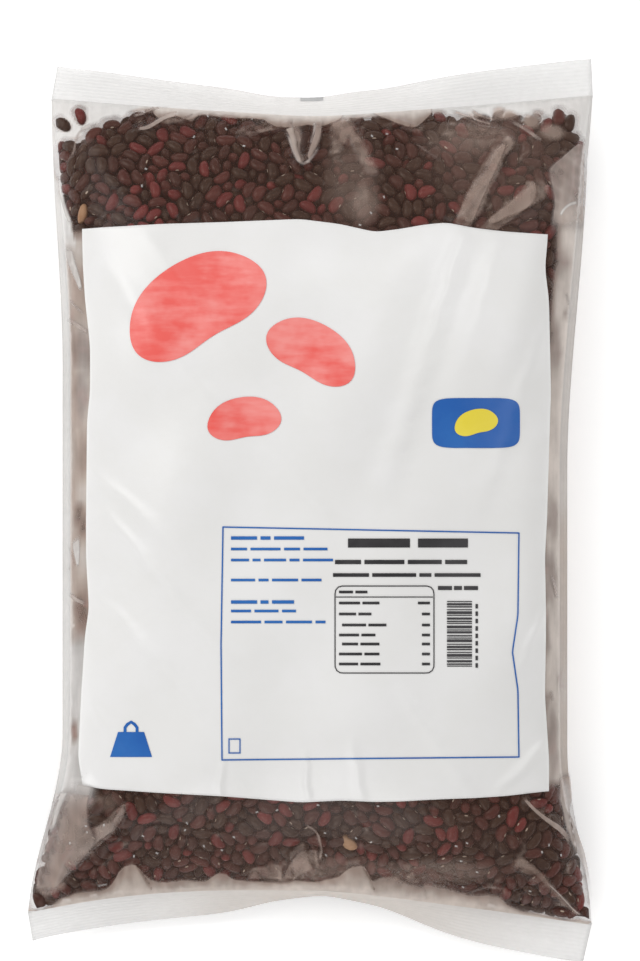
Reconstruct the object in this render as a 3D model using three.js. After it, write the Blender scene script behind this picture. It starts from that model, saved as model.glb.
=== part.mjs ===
// A five kilogram pillow bag of small dried red beans in clear film, lying on its back with its printed face up.
// Millimetres, +Z up. +Y runs from the bottom seal to the top seal and +X to the right of the printed face.
// The origin is on the surface that the bag lies on, under the middle of its bounding box.
import * as THREE from "three";

// The film is a tube about 300 mm wide when flat, sealed across both ends. Filling it draws its sides in.
const WAIST_HALF = 133;
const THICKNESS = 78;
const SIDE_LEVEL = 31; // height of the side edges, where the face turns under
const SIDE_LIP = 3.8; // the empty fold of film along each side, which the beans don't fill
const LIP_NARROWS = 0.9; // the share of it that is gone at the seals

// How far each side flares out past the waist towards an end: how much, from which Y to which Y, and how much more
// the last stretch up to the corner adds.
const FLARES = {
  top: {
    left: { grows: 7, from: 70, to: 214, corner: 0.5 },
    right: { grows: 12.4, from: 20, to: 205, corner: 4.2 },
  },
  bottom: {
    left: { grows: 19.5, from: 118, to: 222, corner: 0 },
    right: { grows: 14.5, from: 126, to: 226, corner: 0 },
  },
};
const CORNER_STARTS = 185;
const CORNER_ENDS = 240;

// Each end of the bag: the seal line is drawn in at the middle, where the bag is thick, and runs further out towards
// both corners. The flat fin beyond it droops by an angle that changes from corner to corner.
const ENDS = {
  top: {
    sign: 1,
    sealMiddle: 206.8,
    sealRise: { left: 11.2, right: 13.3 },
    risePower: { left: 1.02, right: 1.02 },
    ramp: { length: 165, power: 0.62 },
    level: { left: 15, middle: 30, right: 13 },
    droop: { left: 29.7, middle: 56.6, right: 20.5 },
    droopPeak: -0.075,
    droopSpread: 0.555,
    cornerPull: { left: 2, right: 0 },
  },
  bottom: {
    sign: -1,
    sealMiddle: 201.7,
    sealRise: { left: 13.3, right: 20.7 },
    risePower: { left: 2.53, right: 1.02 },
    ramp: { length: 100, power: 0.78 },
    level: { left: 21, middle: 29, right: 13 },
    droop: { left: 40.4, middle: 74.6, right: 16.1 },
    droopPeak: 0.059,
    droopSpread: 0.42,
    cornerPull: { left: 1, right: 4 },
  },
};
const FIN_WIDTH = 22;
const FIN_THICKNESS = 1.2;

// The face is a low dome with soft shoulders, and the back lies flat with rounded flanks.
// Both are squarer across near the seals, where the beans fill the corners.
const FACE = { across: 2.7, acrossAtSeal: 9, roundness: 0.5 };
const BACK = { across: 5, acrossAtSeal: 9, roundness: 0.55, depth: 1.35 };

// Slow waves in the face, as [height, X waves per mm, Y waves per mm, phase].
const FACE_WAVES = [
  [1.1, 0.0105, 0.0015, 0.4],
  [0.8, 0.0155, -0.006, 2.1],
  [0.6, -0.006, 0.0125, 4.4],
];

// Puckers gathered along each seal: they run in from it and fade out.
const PUCKER = { height: 2.1, reach: 34, wavelengths: [37, 23] };

// The longer folds that stand up from the face or sink in it: each from one point to another, with its width and height.
const FOLDS = [
  // the drape that hangs from the middle of the top seal: its two sides, and the hollow between them
  { from: [-15, 203], to: [-9, 184], width: 4.5, height: 3.4 },
  { from: [4, 203], to: [-4, 184], width: 4.5, height: 3.2 },
  { from: [-4, 201], to: [-6, 189], width: 4.5, height: -2.8 },
  // gathers that run slantwise into the top seal
  { from: [-96, 202], to: [-77, 207], width: 4.5, height: 2.6 },
  { from: [-78, 200], to: [-56, 207], width: 5, height: 2.2 },
  { from: [-46, 199], to: [-30, 205], width: 5, height: 1.8 },
  { from: [43, 207], to: [58, 199], width: 4.5, height: 2.4 },
  { from: [72, 208], to: [104, 201], width: 5, height: 2.8 },
  { from: [104, 201], to: [124, 189], width: 5, height: 2.8 },
  // broad slanting folds under the top right corner
  { from: [101, 194], to: [74, 152], width: 6.5, height: 3.0 },
  { from: [112, 188], to: [88, 158], width: 5, height: -2.4 },
  { from: [115, 176], to: [90, 148], width: 6, height: 2.8 },
  // the crease across the top left corner
  { from: [-121, 204], to: [-135, 181], width: 4, height: 2.2 },
  // the slack pocket in the bottom left corner, with the pleat that points inward from it
  { from: [-126, -160], to: [-141, -200], width: 12, height: 3.6 },
  { from: [-101, -159], to: [-116, -174], width: 5, height: 2.8 },
  { from: [-104, -172], to: [-128, -194], width: 6, height: -2.4 },
  // tents of film that stand on the bottom seal
  { from: [-98, -204], to: [-97, -192], width: 6.5, height: 3.2 },
  { from: [-52, -201], to: [-48, -195], width: 8, height: 2.2 },
  { from: [-12, -197], to: [-10, -186], width: 8, height: 3.0 },
  { from: [66, -201], to: [58, -194], width: 8, height: 2.2 },
  { from: [101, -206], to: [104, -197], width: 6, height: 2.6 },
  // the crooked ridge above the middle of the bottom seal
  { from: [-4, -167], to: [3, -178], width: 4, height: 2.4 },
  { from: [3, -178], to: [1, -196], width: 4, height: 2.4 },
  // the creases of the bottom right corner
  { from: [112, -153], to: [130, -168], width: 4.5, height: 3.0 },
  { from: [116, -194], to: [139, -214], width: 4.5, height: 3.0 },
];

// Facets: columns across the filled width, and rows along the fins and the body.
const FILLED_COLUMNS = 48;
const FIN_ROWS = 3;
const BODY_ROWS = 50;
const EDGE_PACKING = 0.5; // 0 spaces the columns evenly, 1 gathers them at the sides
const END_PACKING = 0.6; // the same for the rows, at the seals

const mix = (a, b, t) => a + (b - a) * t;
const clamp = (t) => Math.min(1, Math.max(0, t));
const smooth = (t) => clamp(t) ** 2 * (3 - 2 * clamp(t));
const bell = (t) => Math.exp(-t * t);
const softened = (t) => (Math.hypot(t, 0.1) - 0.1) / (Math.hypot(1, 0.1) - 0.1); // the size of t, rounded off at 0
const packed = (t, share) => mix(t, Math.sin((t * Math.PI) / 2), share);

// Half the width of the outline at height y, on the left (side -1) or the right (side 1).
function halfWidth(y, side) {
  const flare = (y > 0 ? FLARES.top : FLARES.bottom)[side < 0 ? "left" : "right"];
  const grown = smooth((Math.abs(y) - flare.from) / (flare.to - flare.from));
  const corner = clamp((Math.abs(y) - CORNER_STARTS) / (CORNER_ENDS - CORNER_STARTS));
  return WAIST_HALF + flare.grows * grown + flare.corner * corner;
}

const plan = (across, y) => across * halfWidth(y, Math.sign(across));

// The share of the half width that is filled, from 0 at the bottom seal to 1 at the top seal.
const filledLimit = (along) => 1 - (SIDE_LIP / WAIST_HALF) * (1 - LIP_NARROWS * (2 * along - 1) ** 4);

// A value that an end gives for its left corner, its middle and its right corner, at a place across it.
function spanned(values, across, peak = 0, spread = 0.55) {
  const corners = mix(values.left, values.right, smooth((across + 1) / 2));
  return mix(corners, values.middle, bell((across - peak) / spread));
}

// The line where the two films meet: across runs from -1 to 1.
function sealPoint(end, across) {
  const side = across < 0 ? "left" : "right";
  const y = end.sign * (end.sealMiddle + end.sealRise[side] * softened(across) ** end.risePower[side]);
  return new THREE.Vector3(plan(across, y), y, spanned(end.level, across));
}

// A point of the fin, some distance out from the seal line, and the direction out of its face there.
function finPoint(end, across, out) {
  const foot = sealPoint(end, across);
  const droop = THREE.MathUtils.degToRad(spanned(end.droop, across, end.droopPeak, end.droopSpread));
  const pull = end.cornerPull[across < 0 ? "left" : "right"];
  const share = out / FIN_WIDTH;
  const point = new THREE.Vector3(
    foot.x - pull * share * across ** 3,
    foot.y + end.sign * out * Math.cos(droop),
    foot.z - out * Math.sin(droop),
  );
  const normal = new THREE.Vector3(0, end.sign * Math.sin(droop), Math.cos(droop));
  return { point, normal };
}

// 0 at a seal and 1 where the bag has its full thickness.
const rise = (end, inward) => Math.sin((clamp(inward / end.ramp.length) * Math.PI) / 2) ** end.ramp.power;
const dome = (profile, filled, full) =>
  (1 - clamp(filled) ** mix(profile.acrossAtSeal, profile.across, full)) ** profile.roundness;

function foldHeight(x, y) {
  const place = new THREE.Vector2(x, y);
  return FOLDS.reduce((sum, { from, to, width, height }) => {
    const start = new THREE.Vector2(...from);
    const along = new THREE.Vector2(...to).sub(start);
    const t = place.clone().sub(start).dot(along) / along.lengthSq();
    const nearest = start.addScaledVector(along, clamp(t));
    return sum + height * bell(place.distanceTo(nearest) / width);
  }, 0);
}

function puckerHeight(x, inward) {
  const [long, short] = PUCKER.wavelengths.map((wavelength) => Math.sin((2 * Math.PI * x) / wavelength));
  const depth = inward / PUCKER.reach;
  return PUCKER.height * (0.6 * long + 0.4 * short) * depth * Math.exp(1 - 3 * depth);
}

const waveHeight = (x, y) =>
  FACE_WAVES.reduce(
    (sum, [height, kx, ky, phase]) => sum + height * Math.sin(2 * Math.PI * (kx * x + ky * y) + phase), 0);

// The face and the back of the filled body, above and below one point of the sheet between the seals.
function bodyPoints(across, along) {
  const bottom = sealPoint(ENDS.bottom, across);
  const top = sealPoint(ENDS.top, across);
  const y = mix(bottom.y, top.y, along);
  const x = plan(across, y);
  const fromBottom = y - bottom.y;
  const fromTop = top.y - y;
  const level =
    SIDE_LEVEL +
    (bottom.z - SIDE_LEVEL) * (1 - smooth(fromBottom / ENDS.bottom.ramp.length)) +
    (top.z - SIDE_LEVEL) * (1 - smooth(fromTop / ENDS.top.ramp.length));
  const full = rise(ENDS.bottom, fromBottom) * rise(ENDS.top, fromTop);
  const relief =
    waveHeight(x, y) * full + foldHeight(x, y) + puckerHeight(x, fromBottom) + puckerHeight(x + 11, fromTop);
  const filled = Math.abs(across) / filledLimit(along);
  const inland = smooth((1 - filled) / 0.12) * smooth(Math.min(fromBottom, fromTop) / 8);
  const up = (THICKNESS - level) * full * dome(FACE, filled, full) + relief * inland;
  const down = level * BACK.depth * full * dome(BACK, filled, full);
  const half = FIN_THICKNESS / 2;
  return {
    face: new THREE.Vector3(x, y, level + half + Math.max(0, up)),
    back: new THREE.Vector3(x, y, Math.max(0, level - half - down)),
  };
}

function finPoints(end, across, out) {
  const { point, normal } = finPoint(end, across, out);
  return {
    face: point.clone().addScaledVector(normal, FIN_THICKNESS / 2),
    back: point.clone().addScaledVector(normal, -FIN_THICKNESS / 2),
  };
}

// Places across the bag for the columns of the grid: -1 to 1 over the filled width, and beyond that its two edges.
function columnPlaces() {
  const inner = Array.from({ length: FILLED_COLUMNS + 1 }, (_, i) =>
    packed((2 * i) / FILLED_COLUMNS - 1, EDGE_PACKING));
  return [-Infinity, ...inner, Infinity];
}

// Such a place as a share of the whole half width, at a place along the bag.
const acrossAt = (place, along) => (Number.isFinite(place) ? place * filledLimit(along) : Math.sign(place));

// One point of the grid. The rows run from the outer edge of the bottom fin to the outer edge of the top fin.
function gridPoints(row, place) {
  const step = row - FIN_ROWS;
  if (step < 0) return finPoints(ENDS.bottom, acrossAt(place, 0), (-FIN_WIDTH * step) / FIN_ROWS);
  const past = step - BODY_ROWS;
  if (past > 0) return finPoints(ENDS.top, acrossAt(place, 1), (FIN_WIDTH * past) / FIN_ROWS);
  const along = (1 + packed((2 * step) / BODY_ROWS - 1, END_PACKING)) / 2;
  return bodyPoints(acrossAt(place, along), along);
}

// The closed skin: a grid of face points, a grid of back points, and a rim that joins their borders.
function bagGeometry() {
  const rows = BODY_ROWS + 2 * FIN_ROWS;
  const places = columnPlaces();
  const columns = places.length - 1;
  const positions = [];
  const indices = [];
  const layerSize = (rows + 1) * places.length;
  const grid = [];
  for (let row = 0; row <= rows; row++) for (const place of places) grid.push(gridPoints(row, place));
  for (const layer of ["face", "back"]) for (const points of grid) positions.push(...points[layer].toArray());
  const at = (row, column, layer) => layer * layerSize + row * places.length + column;
  const quad = (a, b, c, d) => indices.push(a, b, c, a, c, d);
  for (let row = 0; row < rows; row++)
    for (let column = 0; column < columns; column++) {
      quad(at(row, column, 0), at(row, column + 1, 0), at(row + 1, column + 1, 0), at(row + 1, column, 0));
      quad(at(row, column, 1), at(row + 1, column, 1), at(row + 1, column + 1, 1), at(row, column + 1, 1));
    }
  for (let column = 0; column < columns; column++) {
    quad(at(0, column, 0), at(0, column, 1), at(0, column + 1, 1), at(0, column + 1, 0));
    quad(at(rows, column, 0), at(rows, column + 1, 0), at(rows, column + 1, 1), at(rows, column, 1));
  }
  for (let row = 0; row < rows; row++) {
    quad(at(row, 0, 0), at(row + 1, 0, 0), at(row + 1, 0, 1), at(row, 0, 1));
    quad(at(row, columns, 0), at(row, columns, 1), at(row + 1, columns, 1), at(row + 1, columns, 0));
  }
  const geometry = new THREE.BufferGeometry();
  geometry.setAttribute("position", new THREE.Float32BufferAttribute(positions, 3));
  geometry.setIndex(indices);
  geometry.computeBoundingBox();
  const centre = geometry.boundingBox.getCenter(new THREE.Vector3());
  geometry.translate(-centre.x, -centre.y, 0);
  geometry.computeVertexNormals();
  return geometry;
}

// Beans seen through clear film.
const beansInFilm = new THREE.MeshStandardMaterial({ color: 0x4a2a28, roughness: 0.35, metalness: 0 });

const bag = new THREE.Mesh(bagGeometry(), beansInFilm);
bag.name = "bag";
const group = new THREE.Group();
group.add(bag);

export default group;
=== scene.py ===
import math

import bpy
import numpy as np
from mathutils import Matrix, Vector, kdtree


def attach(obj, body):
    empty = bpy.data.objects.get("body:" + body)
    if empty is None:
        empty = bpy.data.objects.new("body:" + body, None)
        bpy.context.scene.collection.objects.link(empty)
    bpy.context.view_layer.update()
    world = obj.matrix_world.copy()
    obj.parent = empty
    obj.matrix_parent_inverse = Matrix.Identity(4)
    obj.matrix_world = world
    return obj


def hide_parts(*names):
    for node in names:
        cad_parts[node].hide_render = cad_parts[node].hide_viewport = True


# The row frame is in metres. The form below is worked out in millimetres, and build() scales each piece once.
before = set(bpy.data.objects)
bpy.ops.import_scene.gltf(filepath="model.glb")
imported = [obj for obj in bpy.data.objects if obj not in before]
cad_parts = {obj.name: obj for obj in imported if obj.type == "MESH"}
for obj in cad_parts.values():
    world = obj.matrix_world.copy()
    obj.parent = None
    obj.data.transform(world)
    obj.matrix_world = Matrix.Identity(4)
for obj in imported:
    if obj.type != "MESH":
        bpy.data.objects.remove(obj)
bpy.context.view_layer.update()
MM = 0.001
SEED = 7
random = np.random.default_rng(SEED)

# The camera's place, which the folds and the print need too
PHOTO_SCALE = 0.531  # millimetres a pixel, at the height of the bag's seals
PHOTO_LEVEL = 20.0
PHOTO_ORIGIN = np.array([315.0, 508.0])  # the pixel over the middle of the bag
PHOTO_SIZE = (640, 961)
CAMERA_DISTANCE = 1500.0
camera_spot = (np.array([PHOTO_SIZE[0] / 2, PHOTO_SIZE[1] / 2]) - PHOTO_ORIGIN) * PHOTO_SCALE * [1, -1]

# The form of the bag
WAIST_HALF, THICKNESS, SIDE_LEVEL, SIDE_LIP, LIP_NARROWS = 133.0, 78.0, 31.0, 3.8, 0.9
BOX_CENTRE = np.array([-2.08, -1.43])
FLARES = {
    "top": {-1: (7, 70, 214, 0.5), 1: (12.4, 20, 205, 4.2)},
    "bottom": {-1: (19.5, 118, 222, 0), 1: (14.5, 126, 226, 0)},
}
CORNER_STARTS, CORNER_ENDS = 185, 240
TOP = dict(
    sign=1, middle=206.8, grows=(11.2, 13.3), power=(1.02, 1.02), ramp=165, rise=0.62,
    level=(15, 30, 13), droop=(29.7, 56.6, 20.5), peak=-0.075, spread=0.555, pull=(2, 0),
)
BOTTOM = dict(
    sign=-1, middle=201.7, grows=(13.3, 20.7), power=(2.53, 1.02), ramp=100, rise=0.78,
    level=(21, 29, 13), droop=(40.4, 74.6, 16.1), peak=0.059, spread=0.42, pull=(1, 4),
)
FIN_WIDTH = 22
FILM_HALF = 0.2  # half the thickness of the double film in fins and lips
# Across: how square the face and the back are in the middle and at the seals, and how round their shoulders.
FACE_SHAPE, BACK_SHAPE, BACK_DEPTH = (2.7, 9, 0.5), (5, 9, 0.55), 1.35
WAVES = [(1.1, 0.0105, 0.0015, 0.4), (0.8, 0.0155, -0.006, 2.1), (0.6, -0.006, 0.0125, 4.4)]
# Folds of the film, as the camera sees them, in pixels: start x, y, end x, y, half width at the start and
# at the end, height in millimetres, and how much milkier they make the film. Going from start to end, a fold
# has its crisp edge on the camera's right when it runs down.
POCKETS = [
    # the drape under the middle of the top seal
    (286, 126, 299, 161, 4.5, 3.0, 2.6, 0.0),
    (320, 124, 308, 161, 4.0, 3.0, 2.4, 0.0),
    (342, 124, 335, 150, 12.0, 5.0, 2.0, 0.10),
    (352, 132, 372, 170, 6.0, 5.0, 1.4, 0.08),
    # gathers that run slantwise into the top seal
    (168, 121, 134, 130, 4.0, 3.0, 1.8, 0.0),
    (206, 111, 168, 121, 5.0, 4.0, 1.8, 0.06),
    (286, 120, 240, 134, 7.0, 4.0, 1.8, 0.06),
    (397, 121, 420, 130, 4.0, 3.5, 1.8, 0.0),
    (452, 131, 500, 137, 8.0, 9.0, 0.9, 0.03),
    # broad slanting folds under the top right corner
    (508, 142, 469, 212, 5.0, 10.0, 3.0, 0.0),
    (539, 191, 494, 219, 10.0, 5.0, 2.8, 0.0),
    (574, 168, 571, 238, 10.0, 14.0, 2.8, 0.06),
    # the slack pocket in the bottom left corner, with the pleat that points inward from it
    (48, 880, 76, 800, 15.0, 21.0, 3.4, 0.0),
    (104, 832, 124, 808, 9.0, 4.0, 2.8, 0.0),
    (78, 852, 100, 834, 13.0, 9.0, 2.8, 0.0),
    # tents of film that stand on the bottom seal
    (133, 866, 131, 896, 5.0, 24.0, 2.6, 0.0),
    (300, 850, 296, 882, 7.0, 24.0, 2.4, 0.0),
    (354, 866, 350, 888, 9.0, 26.0, 2.2, 0.0),
    (404, 872, 404, 896, 9.0, 22.0, 2.0, 0.0),
    (496, 886, 500, 904, 7.0, 20.0, 2.2, 0.0),
    (318, 836, 320, 872, 3.5, 3.5, 1.6, 0.0),
    # the creases of the bottom right corner
    (526, 800, 564, 828, 4.0, 5.0, 2.2, 0.0),
    (522, 864, 574, 910, 7.0, 4.0, 2.4, 0.0),
]
# Hollows that press into the beans, in the same way.
HOLLOWS = [
    (307, 130, 304, 152, 5.0, 3.0, -2.4, 0.0),
    (290, 862, 288, 876, 3.0, 5.0, -2.0, 0.0),
    (519, 150, 474, 214, 5.0, 7.0, -1.8, 0.0),
    (118, 838, 70, 880, 7.0, 7.0, -2.0, 0.0),
]
# Broad soft drapes across the printed face: start x, y, end x, y, half width at both, height in millimetres.
DRAPES = [
    (462, 240, 384, 486, 9, 14, 1.9),
    (500, 246, 452, 400, 10, 16, 0.9),
    (108, 268, 222, 420, 12, 12, 1.5),
    (150, 240, 292, 430, 8, 14, 0.9),
    (92, 470, 208, 574, 6, 8, 0.9),
    (106, 512, 228, 660, 5, 8, 1.1),
    (92, 590, 200, 704, 6, 9, 0.9),
    (90, 700, 140, 790, 5, 8, 0.9),
    (260, 440, 330, 520, 10, 8, 0.9),
    (545, 330, 480, 500, 7, 12, 0.9),
    (548, 600, 520, 668, 3, 6, 0.9),
    (222, 758, 220, 800, 2.5, 3.5, 0.9),
    (305, 752, 308, 800, 2.5, 3.5, 0.9),
    (352, 740, 362, 800, 5, 5, 0.8),
    (548, 742, 500, 790, 5, 5, 1.1),
    (400, 690, 470, 792, 6, 8, 0.8),
]
# Folds of milky film that lie over the beans: first edge, second edge, how milky, how pale, how soft the two
# edges are as a share of the width, and how far the fold fades in and out as a share of its length.
SHEETS = [
    # the drape under the middle of the top seal: its left lobe and its right arm, round a dark slot
    ([(284, 129), (288, 136), (292, 148), (296, 158.5), (301, 164)],
     [(310, 120), (310, 131), (309, 142), (308, 152), (307.5, 159)], 0.72, 0.10, (0.1, 0.75), (0.05, 0.05)),
    ([(299, 120), (300, 132), (302, 144), (304, 157)],
     [(318, 121), (317, 132), (314, 144), (308, 157)], 0.34, 0.0, (0.5, 0.5), (0.1, 0.2)),
    ([(314, 121), (314.5, 130), (312, 138), (309.5, 147), (307, 155)],
     [(323, 125), (322, 138), (319.5, 145), (315, 153), (308, 162)], 0.52, 0.10, (0.12, 0.2), (0.06, 0.05)),
    ([(320, 124), (327, 140), (337, 152), (350, 168)],
     [(346, 117), (357, 131), (366, 142), (374, 154)], 0.42, 0.0, (0.5, 0.1), (0.02, 0.5)),
    # gathers that run slantwise into the top seal
    ([(131, 118), (142, 115.5), (151, 111.5), (164, 109.5)],
     [(132, 115), (142, 112), (150, 108), (160, 105.5)], 0.55, 0.15, (0.2, 0.2), (0.15, 0.1)),
    ([(136, 130.5), (148, 129.5), (158, 124), (166, 119.5), (178, 116)],
     [(137, 127), (147, 124.5), (157, 118.5), (168, 112), (182, 108)], 0.62, 0.15, (0.12, 0.3), (0.1, 0.1)),
    ([(238, 135), (252, 137), (264, 133), (276, 130)],
     [(242, 128), (252, 130.5), (262, 127), (274, 122)], 0.40, 0.05, (0.2, 0.4), (0.3, 0.1)),
    # stiff folds that end at the top right corner
    ([(508, 122), (518, 127.5), (527, 133), (536, 139.5), (542, 142)],
     [(511, 118.5), (521, 123.5), (531, 129.5), (538, 135), (543, 139)], 0.52, 0.15, (0.15, 0.3),
     (0.15, 0.1)),
    ([(536, 139), (539, 150), (540, 160), (544, 169)],
     [(543, 139), (545, 150), (548, 159), (549, 166)], 0.34, 0.0, (0.2, 0.3), (0.1, 0.2)),
    # broad slanting folds under the top right corner
    ([(494, 137), (484, 155), (471, 175), (459, 200), (450, 222.5)],
     [(509, 137), (504.5, 152), (498, 168), (483, 200), (472, 227)], 0.48, 0.0, (0.28, 0.08), (0.16, 0.0)),
    ([(528, 176), (519, 190), (505, 204), (491, 214), (476, 228)],
     [(534, 177), (539, 191), (537, 202), (524, 214), (500, 230.5)], 0.48, 0.0, (0.16, 0.2), (0.12, 0.0)),
    ([(581, 141), (562, 156), (547, 169), (549, 186), (552, 203), (549.5, 220), (549, 236)],
     [(584, 141), (585, 156), (585, 169), (585, 186), (584, 203), (584, 220), (583, 236)], 0.62, 0.22,
     (0.12, 0.03), (0.05, 0.2)),
    # the slack pocket in the bottom left corner, its pleat, its shoulder and its pale outer strip
    ([(68, 783), (56, 798), (47, 824), (43, 842), (39.5, 859), (36.5, 878), (34.5, 896)],
     [(96, 785), (90, 801), (91, 822), (98, 842), (86, 859), (67, 878), (50, 896)], 0.47, 0.14, (0.05, 0.1),
     (0.16, 0.1)),
    ([(88, 824), (102, 821), (111, 820), (117, 811), (124, 803.5)],
     [(90, 849), (104, 838.5), (115, 830.5), (123, 820), (128, 807)], 0.46, 0.12, (0.25, 0.12),
     (0.15, 0.12)),
    ([(74, 778), (84, 781), (98, 786)],
     [(52, 818), (76, 818), (92, 812)], 0.42, 0.6, (0.15, 0.8), (0.35, 0.3)),
    # painted sheen: the pale outer strip along the left margin, on milky film
    ([(61, 790), (53, 812), (47, 838)],
     [(72, 790), (62, 812), (54, 838)], 0.80, 0.7, (0.05, 0.6), (0.1, 0.3)),
    # tents of film that stand on the bottom seal
    ([(240, 874), (250, 865.5), (262, 862), (274, 859), (286, 862)],
     [(240, 880), (250, 880), (262, 880), (274, 880), (286, 882)], 0.52, 0.0, (0.35, 0.1), (0.3, 0.12)),
    ([(283, 879), (285, 868.5), (290, 860.5), (296, 852.5), (301, 849), (310, 848), (320, 847.5)],
     [(296, 881), (302, 878), (308, 876), (313, 875), (316, 874), (319, 873), (321, 872)], 0.50, 0.0,
     (0.12, 0.3), (0.04, 0.1)),
    ([(326, 874), (338, 860), (352, 852), (366, 848)],
     [(330, 880), (345, 872), (356, 864), (368, 858)], 0.32, 0.0, (0.4, 0.4), (0.2, 0.2)),
    ([(398, 872), (415, 866), (432, 866), (452, 872)],
     [(398, 884), (415, 884), (432, 884), (452, 884)], 0.42, 0.0, (0.5, 0.1), (0.2, 0.2)),
    # the creases of the bottom right corner and the beige strip outside them
    ([(506, 864), (514, 857.5), (524, 857.5), (533, 863), (541, 871), (549, 881), (557, 891), (566, 901),
     (582, 915)],
     [(504, 884), (512, 877), (522, 873), (530, 876), (538, 883), (546, 889.5), (554, 898), (563, 907),
     (580, 918)], 0.40, 0.0, (0.16, 0.5), (0.12, 0.02)),
    ([(522, 798), (530, 808), (541, 818.5), (551, 826.5), (559, 832.5), (566, 841), (571, 850)],
     [(527, 798), (535, 806.5), (546, 815), (555, 820.5), (561, 824), (568, 831), (577, 845)], 0.60, 0.1,
     (0.15, 0.35), (0.06, 0.15)),
    ([(558, 770), (557, 783), (555.5, 797), (561, 811), (562, 822), (567, 838), (573, 850), (579, 863),
     (583, 880), (588, 905)],
     [(570, 770), (571, 783), (572, 797), (570, 811), (574, 822), (580, 838), (584, 850), (587, 863),
     (590, 880), (593, 905)], 0.74, 0.2, (0.4, 0.02), (0.1, 0.3)),
    # white streaks and pleats along the left flank
    ([(63, 244), (66, 262), (74, 280), (80, 293)],
     [(72, 244), (77, 262), (81, 278), (83, 290)], 0.80, 0.75, (0.3, 0.3), (0.2, 0.15)),
    ([(66, 321), (74, 326), (82, 332), (88, 335)],
     [(68, 317), (76, 321), (84, 326), (89, 330)], 0.62, 0.3, (0.15, 0.3), (0.15, 0.15)),
    ([(71, 540), (73, 553), (77, 567)],
     [(80, 532), (81, 550), (79, 567)], 0.80, 0.8, (0.2, 0.3), (0.3, 0.1)),
    ([(68, 596), (76, 602), (86, 606)],
     [(70, 590), (78, 597), (87, 601)], 0.66, 0.3, (0.15, 0.4), (0.2, 0.2)),
]
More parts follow.
